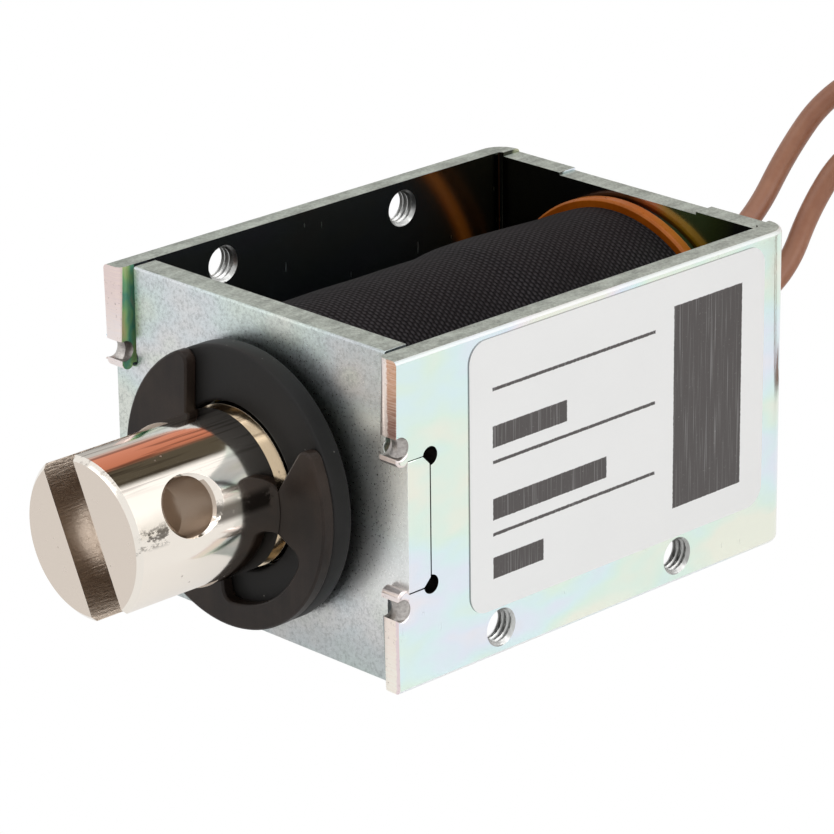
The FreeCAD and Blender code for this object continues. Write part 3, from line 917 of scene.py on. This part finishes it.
def rounded_outline(width: float, height: float, radius: float,
                    steps: int = 8) -> list[tuple[float, float]]:
    """Outline of a rectangle with round corners.

    Args:
        width: size along the first axis.
        height: size along the second axis.
        radius: radius of the corners.
        steps: number of steps round a corner.

    Returns:
        The outline's points about the rectangle's middle.
    """
    outline = []
    for corner in range(4):
        turn = corner * math.pi / 2
        cx = (width / 2 - radius) * (1, -1, -1, 1)[corner]
        cy = (height / 2 - radius) * (1, 1, -1, -1)[corner]
        for step in range(steps + 1):
            angle = turn + step * math.pi / 2 / steps
            outline.append((cx + radius * math.cos(angle), cy + radius * math.sin(angle)))
    return outline


def dress(piece: bpy.types.Object, *finishes: Finishes,
          choose: Callable[[Vector, Vector], Finishes] | None = None) -> None:
    """Puts finishes on a piece.

    Args:
        piece: the piece.
        finishes: its finishes, one per slot.
        choose: gives a face's finish from its middle and its normal; the first by default.
    """
    piece.data.materials.clear()
    for finish in finishes:
        piece.data.materials.append(finish.material)
    for polygon in piece.data.polygons:
        finish = choose(polygon.center, polygon.normal) if choose else finishes[0]
        polygon.material_index = finishes.index(finish)


def settle(piece: bpy.types.Object, body: str, slot: str, *nodes: str) -> None:
    """Puts a finished piece on its body, hides the solids that it stands for and logs both.

    Args:
        piece: the piece.
        body: the body that it rides on.
        slot: not used.
        nodes: the solids that it stands for.
    """
    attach(piece, body)
    if nodes:
        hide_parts(*nodes)
    log.info("%s rides on %s and stands for %s", piece.name, body, ", ".join(nodes) or "nothing")


def dressed_copy(node: str, name: str, edge_mm: float, body: str, slot: str, *finishes: Finishes,
                 choose: Callable[[Vector, Vector], Finishes] | None = None,
                 **changes: object) -> bpy.types.Object:
    """A dressed copy of a solid, put on its body in the place of the solid, which is hidden.

    Args:
        node: the solid's name.
        name: the new piece's name.
        edge_mm: width of the edge break.
        body: the body that it rides on.
        slot: passed on to settle, which does not use it.
        finishes: its finishes.
        choose: gives a face's finish, as in dress.
        changes: further changes to the copy, as in copy_of.

    Returns:
        The new piece.
    """
    piece = copy_of(node, name, edge_mm, **changes)
    dress(piece, *finishes, choose=choose)
    settle(piece, body, slot, node)
    return piece


# Geometry node trees

class ShapeTree(NodeTree):
    """A geometry node tree with named inputs, applied to one piece."""

    def __init__(self, name: str) -> None:
        """Starts a tree that takes a mesh in and gives one out.

        Args:
            name: the tree's name.
        """
        self.group = bpy.data.node_groups.new(name, "GeometryNodeTree")
        super().__init__(self.group)
        self.group.interface.new_socket("Geometry", in_out="INPUT", socket_type="NodeSocketGeometry")
        self.group.interface.new_socket("Geometry", in_out="OUTPUT", socket_type="NodeSocketGeometry")
        self.start = self.group.nodes.new("NodeGroupInput")
        self.settings: dict[str, float] = {}

    def size(self, name: str, value: float) -> Signal:
        """Adds a named input to the tree.

        Args:
            name: the input's name.
            value: its value.

        Returns:
            The input as a signal.
        """
        self.group.interface.new_socket(name, in_out="INPUT", socket_type="NodeSocketFloat")
        self.settings[name] = value
        return Signal(self, self.start.outputs[name])

    def close(self, geometry: Signal, material: bpy.types.Material) -> None:
        """Ends the tree in Realize Instances and Set Material.

        Args:
            geometry: what comes out.
            material: its material.
        """
        real = self.add("GeometryNodeRealizeInstances", None, {0: geometry})
        dressed = self.add("GeometryNodeSetMaterial", None, {"Geometry": real, "Material": material})
        self.add("NodeGroupOutput", None, {0: dressed})

    def apply(self, name: str, places: Iterable[Sequence[float]]) -> bpy.types.Object:
        """Runs the tree on a mesh of single points.

        Args:
            name: name of the piece that comes out.
            places: the points, in metres.

        Returns:
            The piece as a plain mesh.
        """
        mesh = bpy.data.meshes.new(name)
        mesh.from_pydata([tuple(p) for p in places], [], [])
        piece = link(name, mesh)
        modifier = piece.modifiers.new(name, "NODES")
        modifier.node_group = self.group
        for item in self.group.interface.items_tree:
            if item.in_out == "INPUT" and item.name in self.settings:
                modifier[item.identifier] = self.settings[item.name]
        return baked(piece)


@dataclass(frozen=True)
class TapTree:
    """Taps that cut the threads of the side plates' holes: closed rods with a helical ridge."""

    crest_mm: float = 1.66
    root_mm: float = 2.02
    pitch_mm: float = 0.7
    length_mm: float = 3.6
    around: int = 40
    along: int = 84

    def build(self, name: str, places: Iterable[Sequence[float]]) -> bpy.types.Object:
        """One tap along X at each place.

        Args:
            name: name of the piece.
            places: middles of the holes, in metres.

        Returns:
            The taps as one mesh of closed rods.
        """
        t = ShapeTree(name)
        crest, root, pitch, length = (t.size(label, value * MM) for label, value in (
            ("Crest Radius", self.crest_mm), ("Root Radius", self.root_mm), ("Pitch", self.pitch_mm),
            ("Length", self.length_mm)))
        rod = t.add("GeometryNodeMeshCylinder", {"fill_type": "NGON"},
                    {"Vertices": self.around, "Side Segments": self.along, "Radius": 1.0, "Depth": 1.0},
                    output="Mesh")
        x, y, z = t.axes(t.add("GeometryNodeInputPosition"))
        turn = y.math("ARCTAN2", x)
        run = z * length
        phase = (run / pitch - turn * (1.0 / math.tau)).math("FRACT")
        ridge = (phase * 2.0 - 1.0).math("ABSOLUTE") * 1.5 - 0.25
        radius = crest + (root - crest) * ridge.clamped()
        place = t.add("ShaderNodeCombineXYZ", None, {0: run, 1: turn.math("COSINE") * radius,
                                                     2: turn.math("SINE") * radius})
        tap = t.add("GeometryNodeSetPosition", None, {"Geometry": rod, "Position": place})
        taps = t.add("GeometryNodeInstanceOnPoints", None,
                     {"Points": Signal(t, t.start.outputs["Geometry"]), "Instance": tap})
        t.close(taps, Finishes.STEEL.material)
        return t.apply(name, places)


# Sub-assemblies

@dataclass(frozen=True)
class Openings:
    """Round openings of both side plates, in mm behind the front plate's face and above the base."""

    columns: tuple[float, ...]
    rows: tuple[float, ...]
    reach: float

    def near(self, y: float, z: float, reach: float = 0.0) -> bool:
        """Whether a place lies within reach of one of the middles; their own reach by default."""
        away = min(math.hypot(y - column, z - row) for column in self.columns for row in self.rows)
        return away < (reach or self.reach)


@dataclass
class SteelFrame:
    """The bent frame, its staked horns and the front plate."""

    edge_mm: float = 0.10
    sheet_mm: float = 2.5
    inner_round_mm: float = 0.8
    outer_round_mm: float = 0.25
    tapped: Openings = Openings((12.8, 38.9), (3.0, 32.0), 2.15)
    reliefs: Openings = Openings((3.02,), (10.63, 24.17), 1.02)
    grooves: Openings = Openings((-0.98,), (8.88, 25.92), 1.16)
    groove_edge_mm: float = 1.13
    cut_mm: tuple[float, float] = (0.1, 33.9)
    rolled_mm: tuple[float, float] = (0.7, 34.3)
    staked_mm: tuple[tuple[float, float], ...] = ((8.6, 11.6), (23.2, 26.2))
    lower_horn_mm: float = 9.0
    floor_half_mm: float = 1.08
    floor_depths_mm: tuple[float, float] = (0.5, 0.85)

    def __post_init__(self) -> None:
        """Reads the half width, the height and the front of the side plates."""
        low, high = spans("frame_body")
        self.half = high.x
        self.height = high.z
        self.front = low.y

    def hole_places(self) -> list[tuple[float, float, float]]:
        """Places the tapped holes of both side plates.

        Returns:
            Their middles, halfway through the sheet.
        """
        x = self.half - self.sheet_mm * MM / 2
        return [(side * x, PLATE_FRONT + column * MM, row * MM)
                for side in (-1, 1) for column in self.tapped.columns for row in self.tapped.rows]

    @staticmethod
    def on_plate(place: Vector) -> tuple[float, float]:
        """A place's distances behind the front plate's face and above the base, in mm."""
        return (place.y - PLATE_FRONT) / MM, place.z / MM

    def frame_finish(self, middle: Vector, normal: Vector) -> Finishes:
        """Chooses the finish of a face of the frame.

        Args:
            middle: the face's middle.
            normal: its normal.

        Returns:
            The finish.
        """
        y, z = self.on_plate(middle)
        across, level = abs(normal.x), abs(normal.z)
        if level > 0.9 and not self.cut_mm[0] <= z <= self.cut_mm[1]:
            return Finishes.SHEARED
        # painted highlight on the rounded edges
        if level > 0.25 and not self.rolled_mm[0] <= z <= self.rolled_mm[1]:
            return Finishes.ROLLED
        # painted shade in the relief holes
        if across < 0.5 and self.reliefs.near(y, z):
            return Finishes.RELIEF
        if across < 0.9 and y < 0.2 and self.grooves.near(y, z):
            return Finishes.PUNCH_MARK
        if across < 0.97 and self.tapped.near(y, z):
            return Finishes.THREAD
        on_horn = y < -0.02
        if on_horn and any(low < z < high for low, high in self.staked_mm):
            return Finishes.HORN_ROSE
        if on_horn and normal.y < -0.75:
            if z < self.lower_horn_mm:
                return Finishes.HORN_CREAM
            return Finishes.HORN_COPPER if middle.x > 0 else Finishes.HORN_ROSE
        return Finishes.SIDE_PLATE

    def plate_finish(self, middle: Vector, normal: Vector) -> Finishes:
        """Chooses the finish of a face of the front plate.

        Args:
            middle: the face's middle.
            normal: its normal.

        Returns:
            Sheared steel above and below, the side plates' film on the tabs' ends, else its own.
        """
        if abs(normal.z) > 0.9 and (middle.z > self.height - MM or middle.z < 0.1 * MM):
            return Finishes.SHEARED
        on_tab = abs(normal.x) > 0.8 and abs(middle.x) > self.half - 0.2 * MM
        return Finishes.SIDE_PLATE if on_tab else Finishes.FRONT_PLATE

    def front_edge(self, edge: bmesh.types.BMEdge, x: float) -> bool:
        """Whether an edge of the frame bounds the front of a side plate's face.

        Args:
            edge: the edge.
            x: the face's distance from the middle, in metres.

        Returns:
            True for the horns' edges and, on the outside, those of the staking marks.
        """
        if any(abs(abs(v.co.x) - x) >= 1e-6 for v in edge.verts):
            return False
        outside = x == self.half
        ahead = [v.co.y for v in edge.verts]
        on_horn = max(ahead) < PLATE_FRONT + 0.125 * MM and min(ahead) < PLATE_FRONT - 0.01 * MM
        on_mark = outside and all(self.grooves.near(*self.on_plate(v.co), self.groove_edge_mm)
                                  for v in edge.verts)
        return on_mark or on_horn and (outside or edge.calc_length() > MM)

    def round_horns(self, bm: bmesh.types.BMesh) -> None:
        """Rounds the front edges of the side plates, more on the inside.

        Args:
            bm: the frame's merged mesh.
        """
        for x, reach in ((self.half - self.sheet_mm * MM, self.inner_round_mm),
                         (self.half, self.outer_round_mm)):
            edges = [edge for edge in bm.edges if self.front_edge(edge, x)]
            bmesh.ops.bevel(bm, geom=edges, offset=reach * MM, segments=4, profile=0.5, affect="EDGES",
                            clamp_overlap=False)
            log.info("rounded %d horn edges by %.2f mm", len(edges), reach)

    def punch_floors(self) -> None:
        """Shallow floors of the staking marks, which leave the marks deep on the inside only."""
        bm = bmesh.new()
        half, back = self.floor_half_mm, PLATE_FRONT + 0.2 * MM
        heights = [half * k / 6 for k in range(-6, 7)]
        for side in (-1, 1):
            for row, sunk in zip(self.grooves.rows, self.floor_depths_mm):
                rings = []
                for inward, depth in ((0.15, 1.40), (0.45, sunk + 0.35), (0.85, sunk), (1.3, sunk),
                                      (1.8, sunk + 0.2)):
                    x = side * (self.half - inward * MM)
                    corners = [(self.front + (depth - 0.36 * z ** 2) * MM, z) for z in heights]
                    corners += [(back, half), (back, -half)]
                    rings.append([bm.verts.new((x, y, (row + z) * MM)) for y, z in corners])
                for first, second in zip(rings, rings[1:]):
                    bridge(bm, first, second)
                bm.faces.new(rings[0])
                bm.faces.new(rings[-1])
        floors = closed("punch_floors", bm, 30.0)
        dress(floors, Finishes.PUNCH_MARK)
        settle(floors, "frame", "zinc_plate")

    def build(self) -> None:
        """Makes and dresses the frame and the front plate."""
        self.punch_floors()
        taps = TapTree().build("taps", self.hole_places())
        dressed_copy("frame_body", "bent_frame", self.edge_mm, "frame", "zinc_plate",
                     Finishes.SIDE_PLATE, Finishes.SHEARED, Finishes.HORN_COPPER,
                     Finishes.HORN_ROSE, Finishes.HORN_CREAM, Finishes.PUNCH_MARK, Finishes.ROLLED,
                     Finishes.RELIEF, Finishes.THREAD, choose=self.frame_finish, cutters=[taps],
                     prepare=self.round_horns)
        dressed_copy("front_plate", "staked_front_plate", self.edge_mm, "frame", "zinc_plate",
                     Finishes.FRONT_PLATE, Finishes.SHEARED, Finishes.SIDE_PLATE,
                     choose=self.plate_finish)


@dataclass
class Plunger:
    """The plunger with its push rod, retaining clip and rubber washer."""

    edge_mm: float = 0.09
    groove_from_mm: float = 16.0
    washer_clear_mm: float = 0.03
    washer_gap_mm: float = 0.3
    washer_soft_mm: float = 0.35

    def __post_init__(self) -> None:
        """Reads the radii and the nose of the plunger and its rod."""
        low, high = spans("push_rod")
        self.radius = (spans("backstop")[1].x - spans("backstop")[0].x) / 2
        self.rod_radius = (high.x - low.x) / 2
        self.nose = spans("plunger")[0].y

    def face_finish(self, middle: Vector, normal: Vector) -> Finishes:
        """Chooses the finish of a face of the plunger.

        Args:
            middle: the face's middle.
            normal: its normal.

        Returns:
            The finish.
        """
        back, end = (middle.y - self.nose) / MM, abs(normal.y)
        if end > 0.9 and back < 1.0:
            return Finishes.NICKEL_END
        if end > 0.3 and back < 0.55:
            return Finishes.NICKEL_EDGE
        if end > 0.3 and back > self.groove_from_mm:
            return Finishes.NICKEL_GROOVE
        inside = math.hypot(middle.x, middle.z - AXIS_Z) < self.radius - 0.45 * MM
        milled = inside and back < self.groove_from_mm
        return Finishes.NICKEL_MILLED if milled else Finishes.NICKEL_ROUND

    def build(self) -> None:
        """Makes and dresses the moving pieces."""
        body = dressed_copy("plunger", "slotted_plunger", self.edge_mm, "plunger", "nickel_plate",
                            Finishes.NICKEL_ROUND, Finishes.NICKEL_END, Finishes.NICKEL_MILLED,
                            Finishes.NICKEL_EDGE, Finishes.NICKEL_GROOVE, choose=self.face_finish)
        round_shading(body, self.radius)
        rod = dressed_copy("push_rod", "push_rod_pin", 0.05, "plunger", "stainless",
                           Finishes.STAINLESS)
        round_shading(rod, self.rod_radius)
        dressed_copy("e_clip", "retaining_clip", 0.22, "clip", "black_phosphate",
                     Finishes.CLIP_BLACK)
        self.washer()

    def washer(self) -> None:
        """Rubber washer with soft edges."""
        low, high = spans("bumper_washer")
        high.y -= self.washer_clear_mm * MM
        outer, inner = (high.x - low.x) / 2, self.radius + self.washer_gap_mm * MM
        outline = rounded_outline(outer - inner, high.y - low.y, self.washer_soft_mm * MM, 4)
        ring = turned("rubber_washer", [((outer + inner) / 2 + r, (low.y + high.y) / 2 + y)
                                        for r, y in outline])
        dress(ring, Finishes.RUBBER)
        settle(ring, "clip", "black_rubber", "bumper_washer")


@dataclass
class Coil:
    """The wound bobbin with its cloth tape, washers and backstop."""

    steps: int = 192
    rows: int = 96
    tape_mm: float = 0.8
    wave_mm: float = 0.04
    bulge_mm: float = 0.32
    bulge_rise_mm: tuple[float, float] = (7.0, 11.0)
    bulge_fall_mm: tuple[float, float] = (25.0, 15.0)

    def __post_init__(self) -> None:
        """Reads where the rims of the bobbin's flanges start."""
        self.rim = spans("bobbin")[1].x - 0.4 * MM

    def build(self) -> None:
        """Makes and dresses the coil's pieces."""
        dressed_copy("bobbin", "wound_bobbin", 0.08, "frame", "bobbin_moulding", Finishes.BOBBIN,
                     Finishes.BOBBIN_RIM, choose=self.bobbin_finish)
        dressed_copy("backstop", "staked_backstop", 0.06, "frame", "bare_steel", Finishes.STEEL)
        self.tape()
        for finish, nodes in ((Finishes.BRASS, ("guide_tube", "residual_washer")),
                              (Finishes.COPPER, ("coil_winding",)),
                              (Finishes.TINNED, ("splice_a", "splice_b")),
                              (Finishes.BLACK_FIBRE, ("splice_pad", "front_insulating_washer",
                                                      "rear_insulating_washer", "lead_bushing_a",
                                                      "lead_bushing_b"))):
            for node in nodes:
                dress(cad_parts[node], finish)

    def bobbin_finish(self, middle: Vector, normal: Vector) -> Finishes:
        """Finish of a face of the bobbin: a paler copy on the flanges' rims as a painted highlight."""
        on_rim = abs(normal.y) < 0.95 and math.hypot(middle.x, middle.z - AXIS_Z) > self.rim
        return Finishes.BOBBIN_RIM if on_rim else Finishes.BOBBIN

    def uneven(self, row: int, y: float, turn: float) -> float:
        """How far the tape's outside stands off its even radius.

        Args:
            row: number of the ring along the tape.
            y: the ring's place, in metres.
            turn: angle round the axis.

        Returns:
            The distance in metres, negative inwards: waves, soft ends, and a bulge where the last
            layers lie over the rear half of the winding.
        """
        wave = self.wave_mm * (math.sin(3 * turn + row * 0.12) + math.sin(7 * turn - row * 0.31)) / 2
        sunk = 0.06 + 0.12 * (1 - min(row, self.rows - row, 4) / 4)
        bulge = smooth(y / MM, *self.bulge_rise_mm) * smooth(y / MM, *self.bulge_fall_mm)
        return (wave - sunk + self.bulge_mm * bulge) * MM

    def tape(self) -> None:
        """Cloth tape: a sleeve whose outside is slightly uneven, with a UV map in millimetres."""
        low, high = spans("coil_tape")
        outer, length = (high.x - low.x) / 2, high.y - low.y
        inner = outer - self.tape_mm * MM
        turns = [math.tau * step / self.steps for step in range(self.steps)]
        levels = [low.y + length * row / self.rows for row in range(self.rows + 1)]
        radii = [[outer + self.uneven(row, y, turn) for turn in turns]
                 for row, y in enumerate(levels)]
        bm = bmesh.new()
        uv = bm.loops.layers.uv.new("cloth")
        rings = [[bm.verts.new((r * math.cos(turn), y, AXIS_Z + r * math.sin(turn)))
                  for r, turn in zip(ring, turns)]
                 for ring, y in zip(radii + [[inner] * self.steps] * 2, levels + [high.y, low.y])]
        arc, run = math.tau * outer / MM / self.steps, length / MM / self.rows
        for index, here in enumerate(rings):
            for step, face in enumerate(bridge(bm, here, rings[(index + 1) % len(rings)])):
                for loop, (du, dv) in zip(face.loops, ((0, 0), (1, 0), (1, 1), (0, 1))):
                    loop[uv].uv = ((step + du) * arc, (index + dv) * run)
        sleeve = closed("cloth_tape", bm, 40.0)
        dress(sleeve, Finishes.CLOTH)
        settle(sleeve, "frame", "cloth_tape", "coil_tape")


@dataclass
class Lead:
    """One insulated lead with its tinned end."""

    letter: str
    length_mm: float
    route_mm: Sequence[tuple[float, float, float]]
    radius_mm: float = 1.2

    def build(self) -> None:
        curve = bpy.data.curves.new("brown_lead_" + self.letter, "CURVE")
        curve.dimensions = "3D"
        curve.bevel_depth = self.radius_mm * MM
        curve.bevel_resolution = 6
        curve.resolution_u = 16
        curve.use_fill_caps = True
        spline = curve.splines.new("NURBS")
        spline.points.add(len(self.route_mm) - 1)
        for point, (x, y, z) in zip(spline.points, self.route_mm):
            point.co = (x * MM, BACK_FACE + y * MM, z * MM, 1.0)
        spline.order_u = 3
        spline.use_endpoint_u = True
        lead = link(curve.name, curve)
        lead.data.materials.append(Finishes.LEAD.material)
        settle(lead, "frame", "lead_insulation", "lead_" + self.letter)
        tip = dressed_copy("lead_tip_" + self.letter, "tinned_end_" + self.letter, 0.05, "frame",
                           "solder", Finishes.TINNED)


@dataclass
class Label:
    """White label on the side plate, printed with an empty form of blocks and rules."""

    corner_mm: float = 2.2

    def build(self) -> None:
        """Makes the label as a thin plate with round corners."""
        low, high = spans("label")
        middle = (low + high) / 2
        outline = rounded_outline(high.y - low.y, high.z - low.z, self.corner_mm * MM)
        bm = bmesh.new()
        inner, outer = ([bm.verts.new((x, middle.y + y, middle.z + z)) for y, z in outline]
                        for x in (low.x, high.x))
        bm.faces.new(outer)
        bm.faces.new(list(reversed(inner)))
        bridge(bm, inner, outer)
        sheet = closed("white_label", bm, 40.0)
        # painted shadow on the label's sides
        dress(sheet, Finishes.PAPER, Finishes.PAPER_EDGE, choose=lambda _, normal:
              Finishes.PAPER_EDGE if abs(normal.x) < 0.5 else Finishes.PAPER)
        settle(sheet, "frame", "label_paper", "label")


@dataclass
class Studio:
    """White floor, soft lights and the camera at the photograph's place."""

    camera_place: tuple[float, float, float] = (0.31255, -0.30378, 0.18165)
    azimuth_deg: float = 45.773
    elevation_deg: float = 20.638
    roll_deg: float = -0.656
    focal_px: float = 4483.95
    frame_px: float = 834.0
    sensor_mm: float = 36.0
    floor_size: float = 6.0

    def build(self) -> None:
        """Sets up floor, world, lights and camera."""
        self.floor()
        self.world()
        self.lights()
        self.camera()
        bpy.context.scene.view_settings.view_transform = "Standard"

    def floor(self) -> None:
        """Pale floor that lights the object from below and shows white to the camera."""
        half = self.floor_size / 2
        bm = bmesh.new()
        corners = [bm.verts.new((x, y, -0.00002)) for x, y in
                   ((-half, -half), (half, -half), (half, half), (-half, half))]
        bm.faces.new(corners)
        floor = from_bmesh("studio_floor", bm)
        s = Surface("studio_floor")
        seen = s.add("ShaderNodeLightPath", output="Is Camera Ray")
        mirrored = s.add("ShaderNodeLightPath", output="Is Glossy Ray")
        shader = s.add("ShaderNodeBsdfPrincipled", None,
                       {"Base Color": (0.93, 0.93, 0.93), "Roughness": 0.9, "Specular IOR Level": 0.0})
        white = s.add("ShaderNodeEmission", None, {"Color": (1.0, 1.0, 1.0), "Strength": 1.0})
        even = seen.math("MAXIMUM", mirrored * 0.75)
        both = s.add("ShaderNodeMixShader", None, {0: even, 1: shader, 2: white})
        s.add("ShaderNodeOutputMaterial", None, {"Surface": both})
        floor.data.materials.append(s.material)

    def world(self) -> None:
        """White surroundings; polished metal also meets the dark and warm sides of the studio."""
        world = bpy.data.worlds.new("studio")
        bpy.context.scene.world = world
        world.use_nodes = True
        Surroundings(world.node_tree).build()

    def lights(self) -> None:
        """Large soft boxes above, beside and in front."""
        for name, place, size, power in (("top_box", (0.1, -0.1, 0.9), 0.9, 2.5),
                                         ("side_box", (0.8, 0.2, 0.5), 0.7, 3.0),
                                         ("front_box", (-0.3, -0.9, 0.4), 0.7, 1.5)):
            light = bpy.data.lights.new(name, "AREA")
            light.size = size
            light.energy = power
            lamp = link(name, light)
            lamp.location = place
            lamp.rotation_euler = (-Vector(place)).to_track_quat("-Z", "Y").to_euler()

    def camera(self) -> None:
        """Camera at the photograph's place, direction and field."""
        azimuth, elevation, roll = (math.radians(a) for a in
                                    (self.azimuth_deg, self.elevation_deg, self.roll_deg))
        back = Vector((math.sin(azimuth) * math.cos(elevation),
                       -math.cos(azimuth) * math.cos(elevation), math.sin(elevation)))
        right = (-back).cross(Vector((0, 0, 1))).normalized()
        up = right.cross(-back)
        right, up = (math.cos(roll) * right + math.sin(roll) * up,
                     -math.sin(roll) * right + math.cos(roll) * up)
        data = bpy.data.cameras.new("photograph")
        data.sensor_width = self.sensor_mm
        data.lens = self.sensor_mm * self.focal_px / self.frame_px
        data.clip_start, data.clip_end = 0.01, 20.0
        camera = link("photograph", data)
        camera.matrix_world = (Matrix.Translation(self.camera_place)
                               @ Matrix((right, up, back)).transposed().to_4x4())
        bpy.context.scene.camera = camera


class Surroundings(NodeTree):
    """World of the studio: white, with a dark ceiling and a warm wall that only metal mirrors."""

    BANDS = [(0.0, (0.20, 0.20, 0.20)), (0.05, (0.16, 0.16, 0.15)), (0.08, (0.92, 0.90, 0.86)),
             (0.54, (0.96, 0.95, 0.92)), (0.60, (1.25, 1.25, 1.25)), (0.70, (1.25, 1.25, 1.25)),
             (0.72, (0.10, 0.085, 0.06)), (0.79, (0.10, 0.085, 0.06)), (0.81, (0.62, 0.22, 0.13)),
             (0.88, (0.75, 0.30, 0.20)), (0.91, (0.62, 0.62, 0.61)), (0.96, (0.55, 0.55, 0.54)),
             (1.0, (0.20, 0.20, 0.20))]

    def build(self) -> None:
        """Writes the world's nodes."""
        x, y, z = self.axes(self.add("ShaderNodeTexCoord", output="Generated"))
        mirrored = self.add("ShaderNodeLightPath", output="Is Glossy Ray")
        seen = self.add("ShaderNodeLightPath", output="Is Camera Ray")
        turn = z.math("ARCTAN2", x) / math.tau + 0.5
        walls = self.ramp(turn, self.BANDS)
        colour = self.mix(mirrored * y.step(0.35, 0.5), (1.0, 1.0, 1.0), walls)
        strength = 0.50 + mirrored * 0.50 + seen * 0.50
        shader = self.add("ShaderNodeBackground", None, {"Color": colour, "Strength": strength})
        self.add("ShaderNodeOutputWorld", None, {"Surface": shader})


LEAD_A_ROUTE = [
    (8.2584, -4.5, 28.3667), (8.2584, 3.6, 28.3667), (8.5, 9.0, 31.5), (8.7, 13.3, 37.1),
    (11.0, 16.8, 43.2), (17.0, 19.8, 47.7), (24.6, 22.2, 49.0), (32.0, 24.6, 45.4),
    (36.4, 26.4, 38.2), (38.2, 28.0, 29.8), (38.4, 30.2, 20.8), (37.0, 33.6, 12.0),
    (33.6, 38.2, 4.9), (28.2, 42.8, 1.2), (21.2, 45.6, 1.2), (13.6, 45.4, 1.2), (6.8, 42.4, 1.2)]
LEAD_B_ROUTE = [
    (12.6281, -4.5, 23.1591), (12.6281, 3.4, 23.1591), (13.3, 8.7, 26.3), (13.1, 12.3, 32.0),
    (15.2, 15.2, 38.0), (20.8, 17.4, 42.2), (28.2, 19.0, 42.8), (35.4, 20.4, 38.8),
    (39.6, 21.6, 32.2), (41.6, 23.2, 24.2), (41.8, 26.0, 15.6), (40.6, 30.6, 7.8),
    (37.8, 36.6, 2.6), (34.4, 43.2, 1.2), (29.6, 49.2, 1.2), (22.6, 52.6, 1.2), (15.0, 52.4, 1.2)]


def main() -> None:
    """Builds the studio and every sub-assembly."""
    logging.basicConfig(level=logging.INFO, format="%(name)s: %(message)s")
    Studio().build()
    Lead("a", 128.0, LEAD_A_ROUTE).build()
    Lead("b", 123.0, LEAD_B_ROUTE).build()
    SteelFrame().build()
    Plunger().build()
    Coil().build()
    Label().build()


if __name__ == "__main__":
    main()
